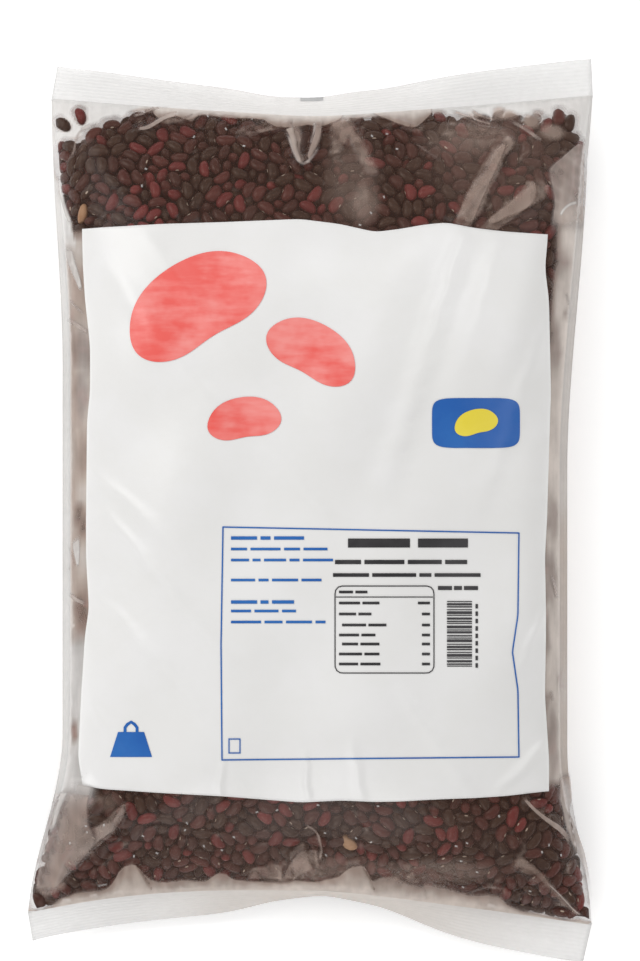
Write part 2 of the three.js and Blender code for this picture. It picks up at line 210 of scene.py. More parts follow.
# Single crisp creases: places along one, half width at its start and end, how milky and how pale.
# Their pale lines are partly milky film doubled in the creases and partly painted highlight where they catch
# the light.
CREASES_AND_HIGHLIGHTS = [
    ([(284, 129.5), (289, 137.5), (293, 149), (297, 158.5), (302, 163), (308, 161.5), (313, 155.5),
     (317, 149.5), (320, 144)], 1.8, 1.3, 0.62, 0.35),
    ([(313.5, 119), (314.5, 128), (312, 137), (309.5, 146)], 1.4, 1.0, 0.6, 0.35),
    ([(305, 153.5), (311, 152), (316, 147.5), (320, 143.5)], 0.9, 0.8, 0.35, 0.1),
    ([(327, 136), (333, 139.5), (339, 141)], 0.9, 0.9, 0.3, 0.1),
    ([(329, 129), (335, 133.5), (338, 139)], 0.9, 0.9, 0.25, 0.1),
    ([(284, 136), (285, 150), (286.5, 165), (286.5, 188)], 2.8, 2.2, 0.27, 0.0),
    ([(350, 117), (358, 132), (367, 142.5), (374, 154)], 1.4, 1.2, 0.22, 0.0),
    ([(368, 178), (371, 192), (371, 206)], 3.0, 2.4, 0.22, 0.0),
    ([(415, 143), (427, 151.5), (441, 161)], 1.0, 1.7, 0.42, 0.1),
    ([(177, 122.5), (186, 117.5), (195, 113)], 1.2, 1.4, 0.35, 0.1),
    ([(150, 112), (158, 109), (170, 107.5)], 1.2, 1.4, 0.3, 0.1),
    ([(450, 110), (465, 115.5), (481, 121.5), (496, 125.5)], 1.4, 1.5, 0.6, 0.1),
    ([(456, 113.5), (466, 118.5), (480, 125), (498, 128)], 1.3, 1.4, 0.5, 0.05),
    ([(470, 109), (478, 114.5), (487, 118), (500, 121)], 1.5, 1.5, 0.55, 0.1),
    ([(452, 132), (470, 136), (490, 137), (503, 134)], 2.2, 2.2, 0.34, 0.0),
    ([(440, 124), (456, 128), (474, 131), (492, 131)], 2.0, 2.0, 0.3, 0.0),
    ([(491, 117), (499, 114.5), (506, 108)], 1.6, 1.6, 0.34, 0.1),
    ([(533, 111), (539, 119), (544, 126)], 1.5, 1.5, 0.5, 0.2),
    ([(498, 226), (508, 223.5), (518, 221.5)], 1.0, 1.0, 0.34, 0.0),
    # painted highlight: the brightest of these creases, a bright thin line that catches the light
    ([(560, 217), (563, 210.5), (570, 204.5), (580, 202)], 1.2, 1.7, 0.8, 0.7),
    ([(89, 127), (79.5, 132.5), (75.5, 142), (73.5, 152), (68, 161), (62, 169)], 1.3, 1.0, 0.42, 0.1),
    ([(84, 148), (78, 152), (72.5, 156.5)], 0.8, 0.8, 0.3, 0.0),
    ([(80, 130), (86, 127.5), (92, 124)], 2.4, 1.8, 0.5, 0.5),
    ([(58, 176), (61.5, 195), (66, 212), (71.5, 227)], 1.3, 2.0, 0.75, 0.7),
    ([(66, 878), (77, 868), (87, 857), (96, 847), (106, 838), (117, 829.5), (124, 820), (128, 808)], 1.0,
     1.2, 0.34, 0.1),
    ([(57, 800), (53, 816), (57, 832), (59, 846)], 1.6, 1.2, 0.2, 0.5),
    ([(74, 806), (70, 822), (74, 842), (66, 858)], 3.0, 3.0, 0.12, 0.0),
    ([(97, 886), (108, 884)], 0.9, 0.9, 0.4, 0.7),
    ([(283, 879), (285, 868.5), (290, 860.5), (296, 852.5), (302, 849), (312, 848)], 1.4, 1.2, 0.3, 0.05),
    ([(303, 821), (308, 826), (313.5, 829.5), (318, 835), (320, 842), (321.5, 850), (320, 858), (321, 868)],
     1.3, 1.6, 0.52, 0.05),
    ([(341, 842), (335, 849.5), (328, 857)], 1.2, 1.0, 0.32, 0.0),
    ([(345, 869), (352, 864.5), (364, 864)], 1.0, 0.9, 0.3, 0.1),
    ([(372, 879), (381, 874), (392, 871), (404, 872)], 1.0, 1.0, 0.3, 0.05),
    ([(404, 885), (416, 878), (430, 872.5)], 1.1, 1.1, 0.3, 0.0),
    ([(432, 873), (450, 877), (466, 881), (480, 888)], 1.3, 1.3, 0.26, 0.0),
    ([(466, 895), (477, 890), (489, 887), (500, 888.5)], 1.3, 1.3, 0.42, 0.1),
    ([(545, 881), (556, 891), (566, 901.5), (575, 911), (584, 917)], 1.0, 1.1, 0.55, 0.3),
    ([(505, 896), (514, 890), (524, 886.5), (536, 888)], 1.1, 1.1, 0.34, 0.0),
    ([(507, 901), (520, 894), (533, 891)], 1.0, 1.0, 0.3, 0.0),
    ([(69, 299), (76, 307), (84, 314)], 1.2, 1.2, 0.5, 0.4),
    ([(69, 545), (72, 557), (76, 567)], 0.8, 0.8, 0.3, 0.0),
    ([(551, 574), (555, 588), (557, 600)], 1.6, 1.4, 0.6, 0.3),
    ([(566, 292), (568, 300), (569, 306)], 1.6, 1.2, 0.5, 0.3),
    ([(551, 690), (553, 702)], 1.8, 1.4, 0.4, 0.2),
]
# The milky bands along both seals: places of their inner edge.
TOP_BANDS = [
    [(148, 110), (153, 115), (159, 120.5), (167, 119.5), (176, 119), (186, 122), (192, 124), (199, 118.5),
    (212, 119), (226, 121), (240, 121), (262, 121.5), (268, 125), (275, 128.5), (284, 129.5), (296, 129.5),
    (308, 127), (318, 129), (330, 126), (340, 121), (347, 116)],
    [(371, 114), (380, 118.5), (390, 122.5), (400, 126.5), (410, 129), (418, 128), (426, 121), (433, 114)],
]
BOTTOM_BANDS = [
    [(42, 902), (50, 898), (60, 893), (70, 889), (80, 886.5), (92, 885), (101, 884), (108, 882.5),
    (115, 875.5), (120, 867.5), (127, 863.5), (134, 862.5), (140, 866.5), (146, 873), (153, 877.5),
    (165, 879), (175, 877.5), (185, 876.5), (205, 877), (212, 873.5), (218, 870.5), (225, 871), (233, 876),
    (245, 877.5), (268, 878.5), (283, 879.5), (295, 877), (305, 878.5), (318, 879), (328, 876),
    (338, 873.5), (345, 868.5), (352, 864.5), (363, 864), (369, 872), (373, 877.5), (381, 873.5),
    (392, 870.5), (402, 871.5), (412, 875), (420, 874.5), (428, 872), (438, 874), (452, 879), (465, 884),
    (480, 886), (490, 886), (500, 889), (508, 897), (520, 903), (545, 908), (565, 914), (580, 918)],
]
# How far that inner edge fades at the bottom, in pixels: places from left to right, and how far there.
BOTTOM_SOFTNESS = (
    [60, 100, 125, 150, 200, 225, 290, 310, 340, 365, 385, 430, 500],
    [9, 9, 3, 4, 6, 4, 6, 4, 5, 3, 7, 18, 12],
)
# Painted highlights: small bright glints where the film stretches over a bean, drawn as short pale ribbons:
# place in the picture and lean.
PAINTED_GLINTS = [
    (146, 169, 0.5), (142, 186, 1.4), (194, 137, 2.2), (226, 129, 1.0), (244, 146, 0.2), (397, 149, 0.2),
    (387, 134, 0.1), (372, 136, 0.8), (384, 197, 1.2), (371, 213, 0.9), (360, 225, 0.3), (70, 843, 1.5),
    (86, 826, 0.2), (87, 832, 1.2), (104, 825, 1.5), (143, 836, 0.6), (187, 823, 0.8), (185, 830, 2.2),
    (204, 846, 1.1), (134, 856, 1.6), (157, 853, 0.4), (234, 837, 0.3), (257, 812, 2.8), (277, 810, 2.6),
    (222, 850, 0.3), (318, 805, 0.2), (325, 833, 0.3), (326, 855, 1.0), (371, 842, 2.6), (378, 806, 0.1),
    (356, 838, 0.8), (456, 846, 0.1), (467, 843, 0.4), (461, 861, 0.2), (477, 872, 0.2), (463, 887, 0.5),
    (499, 816, 1.2), (542, 852, 1.4), (561, 855, 1.4), (549, 845, 1.5), (530, 891, 0.3),
]
# Where the milky film of the flanks touches the beans and clears: place, half width and half height.
CLEARINGS = [
    (82, 352, 10, 20), (81, 396, 7, 26), (78, 514, 5, 10), (84, 526, 4, 8), (82, 612, 7, 18),
    (74, 732, 4, 12), (560, 262, 13, 12), (567, 313, 5, 6), (556, 345, 6, 26), (553, 520, 6, 24),
    (552, 580, 6, 30), (547, 636, 4, 24), (560, 682, 3, 12), (548, 700, 4, 10), (553, 750, 6, 44),
]


def clamp(t):
    return np.clip(t, 0, 1)


def smooth(t):
    t = clamp(t)
    return t * t * (3 - 2 * t)


def bell(t):
    return np.exp(-t * t)


def mix(a, b, t):
    return a + (b - a) * t


def half_width(y, side):
    """Half the width of the outline at height y, on the left or the right."""
    width = np.full(np.broadcast(y, side).shape, WAIST_HALF)
    corner = clamp((np.abs(y) - CORNER_STARTS) / (CORNER_ENDS - CORNER_STARTS))
    for end, sign in (("top", 1), ("bottom", -1)):
        for hand in (-1, 1):
            grows, start, stop, more = FLARES[end][hand]
            here = (np.sign(y) == sign) & ((side < 0) == (hand < 0))
            width = width + here * (grows * smooth((np.abs(y) - start) / (stop - start)) + more * corner)
    return width


def spanned(values, across, peak=0.0, spread=0.55):
    corners = mix(values[0], values[2], smooth((across + 1) / 2))
    return mix(corners, values[1], bell((across - peak) / spread))


def seal_line(end, across):
    """Y and Z of the line where the two films meet."""
    grows, power = (np.where(across < 0, *end[key]) for key in ("grows", "power"))
    soft = (np.hypot(across, 0.1) - 0.1) / (math.hypot(1, 0.1) - 0.1)
    return end["sign"] * (end["middle"] + grows * soft**power), spanned(end["level"], across)


def pixels(x, y, z):
    """Where the camera sees a point."""
    share = (CAMERA_DISTANCE + PHOTO_LEVEL - z) / CAMERA_DISTANCE
    seen_x, seen_y = ((v - spot) / share + spot for v, spot in ((x, camera_spot[0]), (y, camera_spot[1])))
    return PHOTO_ORIGIN[0] + seen_x / PHOTO_SCALE, PHOTO_ORIGIN[1] - seen_y / PHOTO_SCALE


def wandering(px, py):
    """The same places nudged to and fro, so that what is drawn there wanders as crumpled film does."""
    return (
        px + 1.0 * np.sin(py * 0.17 + 0.9 * np.sin(px * 0.07)) + 0.25 * np.sin(py * 0.43 + px * 0.13),
        py + 0.8 * np.sin(px * 0.15 + 1.7) + 0.25 * np.sin(px * 0.41 - py * 0.11),
    )


def along_line(px, py, x0, y0, x1, y1):
    """How far along a line a place is, from 0 to 1, how far away from it, and on which side."""
    along_x, along_y = x1 - x0, y1 - y0
    across_x, across_y = px - x0, py - y0
    t = clamp((across_x * along_x + across_y * along_y) / (along_x**2 + along_y**2))
    away = np.hypot(across_x - t * along_x, across_y - t * along_y)
    return t, away, across_x * along_y - across_y * along_x


def fold_height(px, py, folds):
    """Height and milkiness that folds add at a place: tapered bands with a flat top, crisp at one edge."""
    px, py = wandering(px, py)
    height = np.zeros(np.broadcast(px, py).shape)
    milk = np.zeros_like(height)
    for x0, y0, x1, y1, start, stop, tall, milky in folds:
        t, away, side = along_line(px, py, x0, y0, x1, y1)
        wide = mix(start, stop, t)
        edge = np.where(side > 0, 1.2, np.maximum(1.2, 0.55 * wide))
        band = smooth((wide + edge - away) / (2 * edge))
        height = np.where(np.abs(tall * band) > np.abs(height), tall * band, height)
        milk = np.maximum(milk, milky * band)
    return height, milk


def drape_height(px, py):
    """Height that the broad drapes add at a place."""
    px, py = wandering(px, py)
    height = np.zeros(np.broadcast(px, py).shape)
    for x0, y0, x1, y1, start, stop, tall in DRAPES:
        t, away, _ = along_line(px, py, x0, y0, x1, y1)
        ends = smooth(1.5 - 1.5 * np.abs(2 * t - 1) + 0.5)
        height = height + tall * bell(away / mix(start, stop, t)) * ends
    return height


def pucker_height(x, inward):
    depth = inward / 34
    wave = 0.6 * np.sin(2 * np.pi * x / 37) + 0.4 * np.sin(2 * np.pi * x / 23)
    return 2.1 * wave * depth * np.exp(1 - 3 * depth)


def filled_limit(along):
    """The share of the half width that the beans fill, from the bottom seal to the top seal."""
    return 1 - (SIDE_LIP / WAIST_HALF) * (1 - LIP_NARROWS * (2 * along - 1) ** 4)


def wave_height(x, y):
    return sum(h * np.sin(2 * np.pi * (kx * x + ky * y) + p) for h, kx, ky, p in WAVES)


def levels(x, y, ridges=True):
    """Over a place: the height of the side line, of the face film and of the back film.
    Without ridges it is the room that the beans fill, which the folds stand clear of."""
    across = np.clip(x / half_width(y, x), -1, 1)
    bottom_y, bottom_z = seal_line(BOTTOM, across)
    top_y, top_z = seal_line(TOP, across)
    from_bottom, from_top = y - bottom_y, top_y - y
    level = (
        SIDE_LEVEL
        + (bottom_z - SIDE_LEVEL) * (1 - smooth(from_bottom / BOTTOM["ramp"]))
        + (top_z - SIDE_LEVEL) * (1 - smooth(from_top / TOP["ramp"]))
    )
    full = (
        np.sin(clamp(from_bottom / BOTTOM["ramp"]) * np.pi / 2) ** BOTTOM["rise"]
        * np.sin(clamp(from_top / TOP["ramp"]) * np.pi / 2) ** TOP["rise"]
    )
    along = clamp(from_bottom / (top_y - bottom_y))
    filled = np.abs(across) / filled_limit(along)
    domes = [
        (1 - clamp(filled) ** mix(end, middle, full)) ** roundness
        for middle, end, roundness in (FACE_SHAPE, BACK_SHAPE)
    ]
    up = (THICKNESS - level) * full * domes[0]
    seen = pixels(x, y, level + up)
    puckers = pucker_height(x, from_bottom) + pucker_height(x + 11, from_top)
    relief = wave_height(x, y) * full + fold_height(*seen, HOLLOWS)[0]
    if ridges:
        relief = relief + fold_height(*seen, POCKETS)[0] + drape_height(*seen) + 0.5 * puckers
        relief = relief + fine_creases(x, y, from_bottom, from_top, across)
    else:
        relief = relief + 0.5 * np.minimum(puckers, 0)
    inland = smooth((1 - filled) / 0.08) * smooth(np.minimum(from_bottom, from_top) / 5)
    up = up + relief * inland
    down = level * BACK_DEPTH * full * domes[1]
    return level, level + np.maximum(0, up), np.maximum(0, level - down)


def fine_creases(x, y, from_bottom, from_top, across):
    """The small gathers that fan out of both seals and the creases along the flanks."""
    def gathers(inward, phase):
        fan = np.sin(x / 3.1 + phase + 1.6 * np.sin(x / 17 + phase) + inward * 0.05 * np.sin(x / 29))
        return 0.75 * np.maximum(0, fan) ** 2 * np.exp(-(inward / 13) ** 2)

    flank = bell((np.abs(across) - 0.92) / 0.05)
    along = np.maximum(0, np.sin(y / 7.3 + 2.2 * np.sin(y / 31) + x * 0.11)) ** 3
    return gathers(from_bottom, 0.7) + gathers(from_top, 2.9) + 1.2 * flank * along


def fin_surface(end, across, out):
    """A point of the fin, out beyond the seal line, and its normal."""
    y, z = seal_line(end, across)
    droop = np.radians(spanned(end["droop"], across, end["peak"], end["spread"]))
    pull = np.where(across < 0, *end["pull"]) * out / FIN_WIDTH * across**3
    x = across * half_width(y, across) - pull
    point = np.stack([x, y + end["sign"] * out * np.cos(droop), z - out * np.sin(droop)], -1)
    normal = np.stack([np.zeros_like(droop), end["sign"] * np.sin(droop), np.cos(droop)], -1)
    return point, normal


def seen_at(px, py, lift=0.0):
    """The point of the bag's face that the camera sees at a place of the picture."""
    flat = np.stack([(px - PHOTO_ORIGIN[0]) * PHOTO_SCALE, (PHOTO_ORIGIN[1] - py) * PHOTO_SCALE], -1)
    spot = flat.copy()
    for _ in range(4):
        height = levels(spot[..., 0], spot[..., 1])[1] + FILM_HALF + lift
        share = (CAMERA_DISTANCE + PHOTO_LEVEL - height) / CAMERA_DISTANCE
        spot = camera_spot + (flat - camera_spot) * share[..., None]
    height = levels(spot[..., 0], spot[..., 1])[1] + FILM_HALF + lift
    return np.concatenate([spot, height[..., None]], -1)


# Meshes from arrays
def grid_faces(rows, columns, start=0, flip=False):
    """Quads of a grid of points, counted row by row."""
    r, c = np.meshgrid(np.arange(rows - 1), np.arange(columns - 1), indexing="ij")
    a = (start + r * columns + c).ravel()
    quads = np.stack([a, a + 1, a + columns + 1, a + columns], -1)
    return quads[:, ::-1] if flip else quads


def rim_faces(rows, columns, offset):
    """Quads that close the edge between a grid of face points and one of back points."""
    column = np.arange(columns - 1)
    row = np.arange(rows - 1) * columns
    near = np.stack([column + 1, column, column + offset, column + 1 + offset], -1)
    far = near[:, [1, 0, 3, 2]] + (rows - 1) * columns
    left = np.stack([row, row + columns, row + columns + offset, row + offset], -1)
    right = left[:, ::-1] + columns - 1
    return np.concatenate([near, far, left, right])


def skin_faces(rows, columns):
    """The faces of a closed skin: a grid of face points, one of back points, and the rim between them."""
    count = rows * columns
    both = [grid_faces(rows, columns), grid_faces(rows, columns, count, flip=True)]
    return np.concatenate([*both, rim_faces(rows, columns, count)])


def build(name, points, faces, material, attributes=None, uv=None):
    """A piece from points in millimetres and faces of equal length."""
    mesh = bpy.data.meshes.new(name)
    points = (np.asarray(points, float) - [*BOX_CENTRE, 0]) * MM
    faces = np.asarray(faces, np.int32)
    count, sides = faces.shape
    mesh.vertices.add(len(points))
    mesh.vertices.foreach_set("co", points.astype(np.float32).ravel())
    mesh.loops.add(count * sides)
    mesh.loops.foreach_set("vertex_index", faces.ravel())
    mesh.polygons.add(count)
    mesh.polygons.foreach_set("loop_start", np.arange(0, count * sides, sides, dtype=np.int32))
    mesh.update(calc_edges=True)
    mesh.polygons.foreach_set("use_smooth", np.full(count, True))
    for key, values in (attributes or {}).items():
        values = np.asarray(values, np.float32)
        kind = "FLOAT_VECTOR" if values.ndim == 2 else "FLOAT"
        layer = mesh.attributes.new(key, kind, "POINT")
        layer.data.foreach_set("vector" if values.ndim == 2 else "value", values.ravel())
    if uv is not None:
        layer = mesh.uv_layers.new(name="UVMap")
        layer.data.foreach_set("uv", np.asarray(uv, np.float32)[faces.ravel()].ravel())
    mesh.validate()
    mesh.materials.append(material)
    piece = bpy.data.objects.new(name, mesh)
    bpy.context.scene.collection.objects.link(piece)
    return piece


def belongs(piece):
    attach(piece, "root")
    return piece


# Materials
class Nodes:
    """A short hand for a node tree."""

    def __init__(self, tree):
        self.tree = tree

    def add(self, kind, **settings):
        node = self.tree.nodes.new(kind)
        for key, value in settings.items():
            setattr(node, key, value)
        return node

    def link(self, source, target):
        self.tree.links.new(source, target)

    def fill(self, node, inputs):
        """Gives sockets, by name or number, a value or a link from another node."""
        for key, value in inputs.items():
            if hasattr(value, "is_output"):
                self.link(value, node.inputs[key])
            elif value is not None:
                node.inputs[key].default_value = value
        return node

    def math(self, operation, a, b=None, c=None, clamp=False):
        node = self.add("ShaderNodeMath", operation=operation, use_clamp=clamp)
        return self.fill(node, {0: a, 1: b, 2: c}).outputs[0]

    def noise(self, place, scale, detail=3.0, roughness=0.5):
        node = self.add("ShaderNodeTexNoise")
        self.fill(node, {"Vector": place, "Scale": scale, "Detail": detail, "Roughness": roughness})
        return node.outputs["Fac"]

    def ramp(self, value, low, high, to_low=0.0, to_high=1.0):
        node = self.add("ShaderNodeMapRange", interpolation_type="SMOOTHSTEP")
        return self.fill(node, dict(enumerate((value, low, high, to_low, to_high)))).outputs[0]

    def blend(self, share, a, b):
        node = self.add("ShaderNodeMix", data_type="RGBA")
        return self.fill(node, {0: share, 6: a, 7: b}).outputs[2]

    def attribute(self, name, output="Fac"):
        return self.add("ShaderNodeAttribute", attribute_name=name).outputs[output]

    def bump(self, height, strength, distance):
        node = self.add("ShaderNodeBump")
        self.fill(node, {"Strength": strength, "Distance": distance, "Height": height})
        return node.outputs["Normal"]

    def streaks(self, place, scale, turn=0.0):
        """Noise drawn out along one direction."""
        node = self.add("ShaderNodeMapping")
        self.fill(node, {"Vector": place, "Scale": scale, "Rotation": (0.0, 0.0, turn)})
        return self.noise(node.outputs["Vector"], 1.0)


def new_material(name):
    material = bpy.data.materials.new(name)
    material.use_nodes = True
    tree = material.node_tree
    tree.nodes.clear()
    nodes = Nodes(tree)
    shader = nodes.add("ShaderNodeBsdfPrincipled")
    output = nodes.add("ShaderNodeOutputMaterial")
    nodes.link(shader.outputs[0], output.inputs["Surface"])
    place = nodes.add("ShaderNodeTexCoord").outputs["Object"]
    return material, nodes, shader, place


def colour(r, g, b):
    """An sRGB colour of 0 to 255 as linear light."""
    parts = [v / 255 for v in (r, g, b)]
    return (*(v / 12.92 if v <= 0.04045 else ((v + 0.055) / 1.055) ** 2.4 for v in parts), 1.0)


def fine_relief_group():
    """Small uneven relief that film, seals and print share: it gives a height and a slow mottle."""
    group = bpy.data.node_groups.new("film_relief", "ShaderNodeTree")
    group.interface.new_socket("Place", in_out="INPUT", socket_type="NodeSocketVector")
    group.interface.new_socket("Height", in_out="OUTPUT", socket_type="NodeSocketFloat")
    group.interface.new_socket("Mottle", in_out="OUTPUT", socket_type="NodeSocketFloat")
    nodes = Nodes(group)
    start = nodes.add("NodeGroupInput")
    end = nodes.add("NodeGroupOutput")
    place = start.outputs["Place"]
    fine, broad = nodes.noise(place, 210.0, 2.0), nodes.noise(place, 60.0)
    height = nodes.math("MULTIPLY_ADD", fine, 0.35, nodes.math("MULTIPLY", broad, 0.65))
    nodes.fill(end, {"Height": height, "Mottle": nodes.noise(place, 24.0, 4.0, 0.6)})
    return group


RELIEF = fine_relief_group()


def relief(nodes, place):
    node = nodes.add("ShaderNodeGroup", node_tree=RELIEF)
    nodes.link(place, node.inputs["Place"])
    return node.outputs["Height"], node.outputs["Mottle"]


def film_material():
    """Clear film: see-through where it lies on the beans and milky where it stands off them."""
    material, nodes, shader, place = new_material("clear_film")
    height, mottle = relief(nodes, place)
    haze = nodes.attribute("haze")
    tint = nodes.blend(nodes.ramp(haze, 0.22, 0.5), colour(104, 76, 65), colour(188, 165, 152))
    tint = nodes.blend(nodes.ramp(haze, 0.5, 0.8), tint, colour(204, 188, 176))
    # paleness whitens the film: milky film, and in the glints, the brightest creases and the flanks' lip also
    # painted highlight and sheen
    tint = nodes.blend(nodes.attribute("pale"), tint, colour(232, 231, 229))
    streak = nodes.streaks(place, (300.0, 45.0, 90.0))
    patchy = nodes.math("MULTIPLY_ADD", streak, 0.45, nodes.math("SUBTRACT", mottle, 0.72))
    uneven = nodes.math("MULTIPLY", patchy, nodes.math("MULTIPLY", haze, 0.9))
    nodes.fill(shader, {
        "Base Color": tint, "Alpha": nodes.math("ADD", haze, uneven, clamp=True),
        "Roughness": nodes.ramp(haze, 0.05, 0.7, 0.2, 0.42), "IOR": 1.6, "Specular IOR Level": 0.3,
        "Normal": nodes.bump(height, 0.35, 0.0012),
    })
    return material


def seal_material():
    """The fins: two films welded together in fine crimp lines, milkier than the single film. Their colour
    holds painted shade on the ribs and where they hang steepest.
    """
    material, nodes, shader, place = new_material("sealed_film")
    height, mottle = relief(nodes, place)
    # painted shade: lighter on each rib's crest and darker in its groove
    shade = nodes.ramp(nodes.attribute("crimp"), 0.0, 1.0)
    plain = nodes.blend(shade, colour(238, 237, 236), colour(246, 245, 244))
    # painted shade: darker and warmer in tone where the fin hangs steepest
    tint = nodes.blend(nodes.attribute("warm_shade"), plain, colour(208, 194, 181))
    nodes.fill(shader, {
        "Base Color": tint, "Alpha": nodes.ramp(mottle, 0.3, 0.7, 0.5, 0.68), "Roughness": 0.4,
        "Normal": nodes.bump(height, 0.3, 0.001),
    })
    return material


def bean_material(name, dark, light):
    """A dried bean's skin: mottled between two colours, with a pale eye in its hollow side."""
    material, nodes, shader, place = new_material(name)
    tone = nodes.attribute("tone")
    speckle = nodes.noise(place, 900.0, 2.0)
    broad = nodes.noise(place, 160.0, 2.0)
    share = nodes.math("MULTIPLY_ADD", nodes.math("SUBTRACT", broad, 0.5), 0.7, tone)
    share = nodes.math("MULTIPLY_ADD", nodes.math("SUBTRACT", speckle, 0.5), 0.25, share, clamp=True)
    skin = nodes.blend(share, dark, light)
    split = nodes.add("ShaderNodeSeparateXYZ")
    nodes.link(nodes.attribute("on_bean", "Vector"), split.inputs[0])
    x = nodes.math("DIVIDE", split.outputs["X"], 0.2)
    z = nodes.math("DIVIDE", split.outputs["Z"], 0.17)
    away = nodes.math("SQRT", nodes.math("ADD", nodes.math("MULTIPLY", x, x), nodes.math("MULTIPLY", z, z)))
    facing = nodes.math("GREATER_THAN", split.outputs["Y"], 0.0)
    eye = nodes.math("MULTIPLY", nodes.ramp(away, 1.1, 0.75), facing)
    nodes.fill(shader, {
        "Base Color": nodes.blend(eye, skin, colour(214, 196, 176)),
        "Roughness": nodes.ramp(broad, 0.3, 0.7, 0.28, 0.44),
        "Normal": nodes.bump(speckle, 0.12, 0.0004),
        "Specular IOR Level": 0.3, "Specular Tint": (1.0, 0.82, 0.7, 1.0),
    })
    return material


def ink_material(name, ink, faded, streak=0.0):
    """Flat ink on the film, a little uneven."""
    material, nodes, shader, place = new_material(name)
    height, mottle = relief(nodes, place)
    share = nodes.ramp(mottle, 0.35, 0.68)
    if streak:
        lines = nodes.streaks(place, (60.0, 260.0, 60.0), 0.7)
        share = nodes.math("MULTIPLY_ADD", nodes.math("SUBTRACT", lines, 0.5), streak, share, clamp=True)
    nodes.fill(shader, {
        "Base Color": nodes.blend(share, ink, faded), "Roughness": 0.34,
        "Normal": nodes.bump(height, 0.2, 0.001),
    })
    return material


# The beans
BEAN_LENGTH, BEAN_WIDTH, BEAN_THICK = 10.5, 6.6, 5.1
BALL = 3.0  # each bean is packed as three balls in a row
BALL_REACH = BEAN_LENGTH / 2 - BALL
SHELL = 12.0  # only the beans within this depth of the film are made
PACK_STEPS = 220
PACK_TRIES = 400000
PACK_LOW, PACK_HIGH = (-152, -218, 1), (152, 216, 82)  # the box in which places for beans are tried
PACK_SHARE = 0.61  # of the room that beans take up
BEAN_VOLUME = 247
MARGIN_TRIES, MARGIN_APART = 20000, 6.0  # places tried near the ends, and how far apart beans lie there


class Walls:
    """The room for beans inside the film: heights and slopes of the face and the back on a grid of 1 mm."""

    def __init__(self):
        self.xs, self.ys = np.arange(-156, 157, 1.0), np.arange(-222, 223, 1.0)
        x, y = np.meshgrid(self.xs, self.ys)
        _, face, back = levels(x, y, ridges=False)
        self.tables = []
        for height, sign in ((face - 0.25, 1), (back + 0.25, -1)):
            slope_y, slope_x = np.gradient(height, 1.0)
            self.tables.append(np.stack([height, slope_x, slope_y], -1))

    def read(self, points, which):
        """Distance from a wall, and the way out through it, at each point."""
        u = np.clip(points[:, 0] - self.xs[0], 0, len(self.xs) - 1.001)
        v = np.clip(points[:, 1] - self.ys[0], 0, len(self.ys) - 1.001)
        i, j = u.astype(int), v.astype(int)
        s, t = (u - i)[:, None], (v - j)[:, None]
        table = self.tables[which]
        low = table[j, i] * (1 - s) + table[j, i + 1] * s
        high = table[j + 1, i] * (1 - s) + table[j + 1, i + 1] * s
        value = low * (1 - t) + high * t
        out = np.stack([-value[:, 1], -value[:, 2], np.ones(len(points))], -1)
        size = np.linalg.norm(out, axis=1)
        if which == 0:
            return (value[:, 0] - points[:, 2]) / size, out / size[:, None]
        return (points[:, 2] - value[:, 0]) / size, -out / size[:, None]


def close_pairs(points, owner, reach):
    """Every pair of balls of different beans nearer than reach, found in a grid of cells."""
    cell = np.floor((points - points.min(0)) / reach).astype(np.int64) + 1
    size = cell.max(0) + 2
    key = (cell[:, 0] * size[1] + cell[:, 1]) * size[2] + cell[:, 2]
    order = np.argsort(key, kind="stable")
    ordered = key[order]
    steps = [(a, b, c) for a in (-1, 0, 1) for b in (-1, 0, 1) for c in (-1, 0, 1) if (a, b, c) >= (0, 0, 0)]
    firsts, seconds = [], []
    for a, b, c in steps:
        target = key + (a * size[1] + b) * size[2] + c
        start = np.searchsorted(ordered, target, "left")
        count = np.searchsorted(ordered, target, "right") - start
        first = np.repeat(np.arange(len(points)), count)
        nth = np.arange(len(first)) - np.repeat(np.cumsum(count) - count, count)
        second = order[np.repeat(start, count) + nth]
        keep = owner[first] != owner[second]
        if (a, b, c) == (0, 0, 0):
            keep &= first < second
        firsts.append(first[keep])
        seconds.append(second[keep])
    first, second = np.concatenate(firsts), np.concatenate(seconds)
    near = np.linalg.norm(points[first] - points[second], axis=1) < reach
    return first[near], second[near]


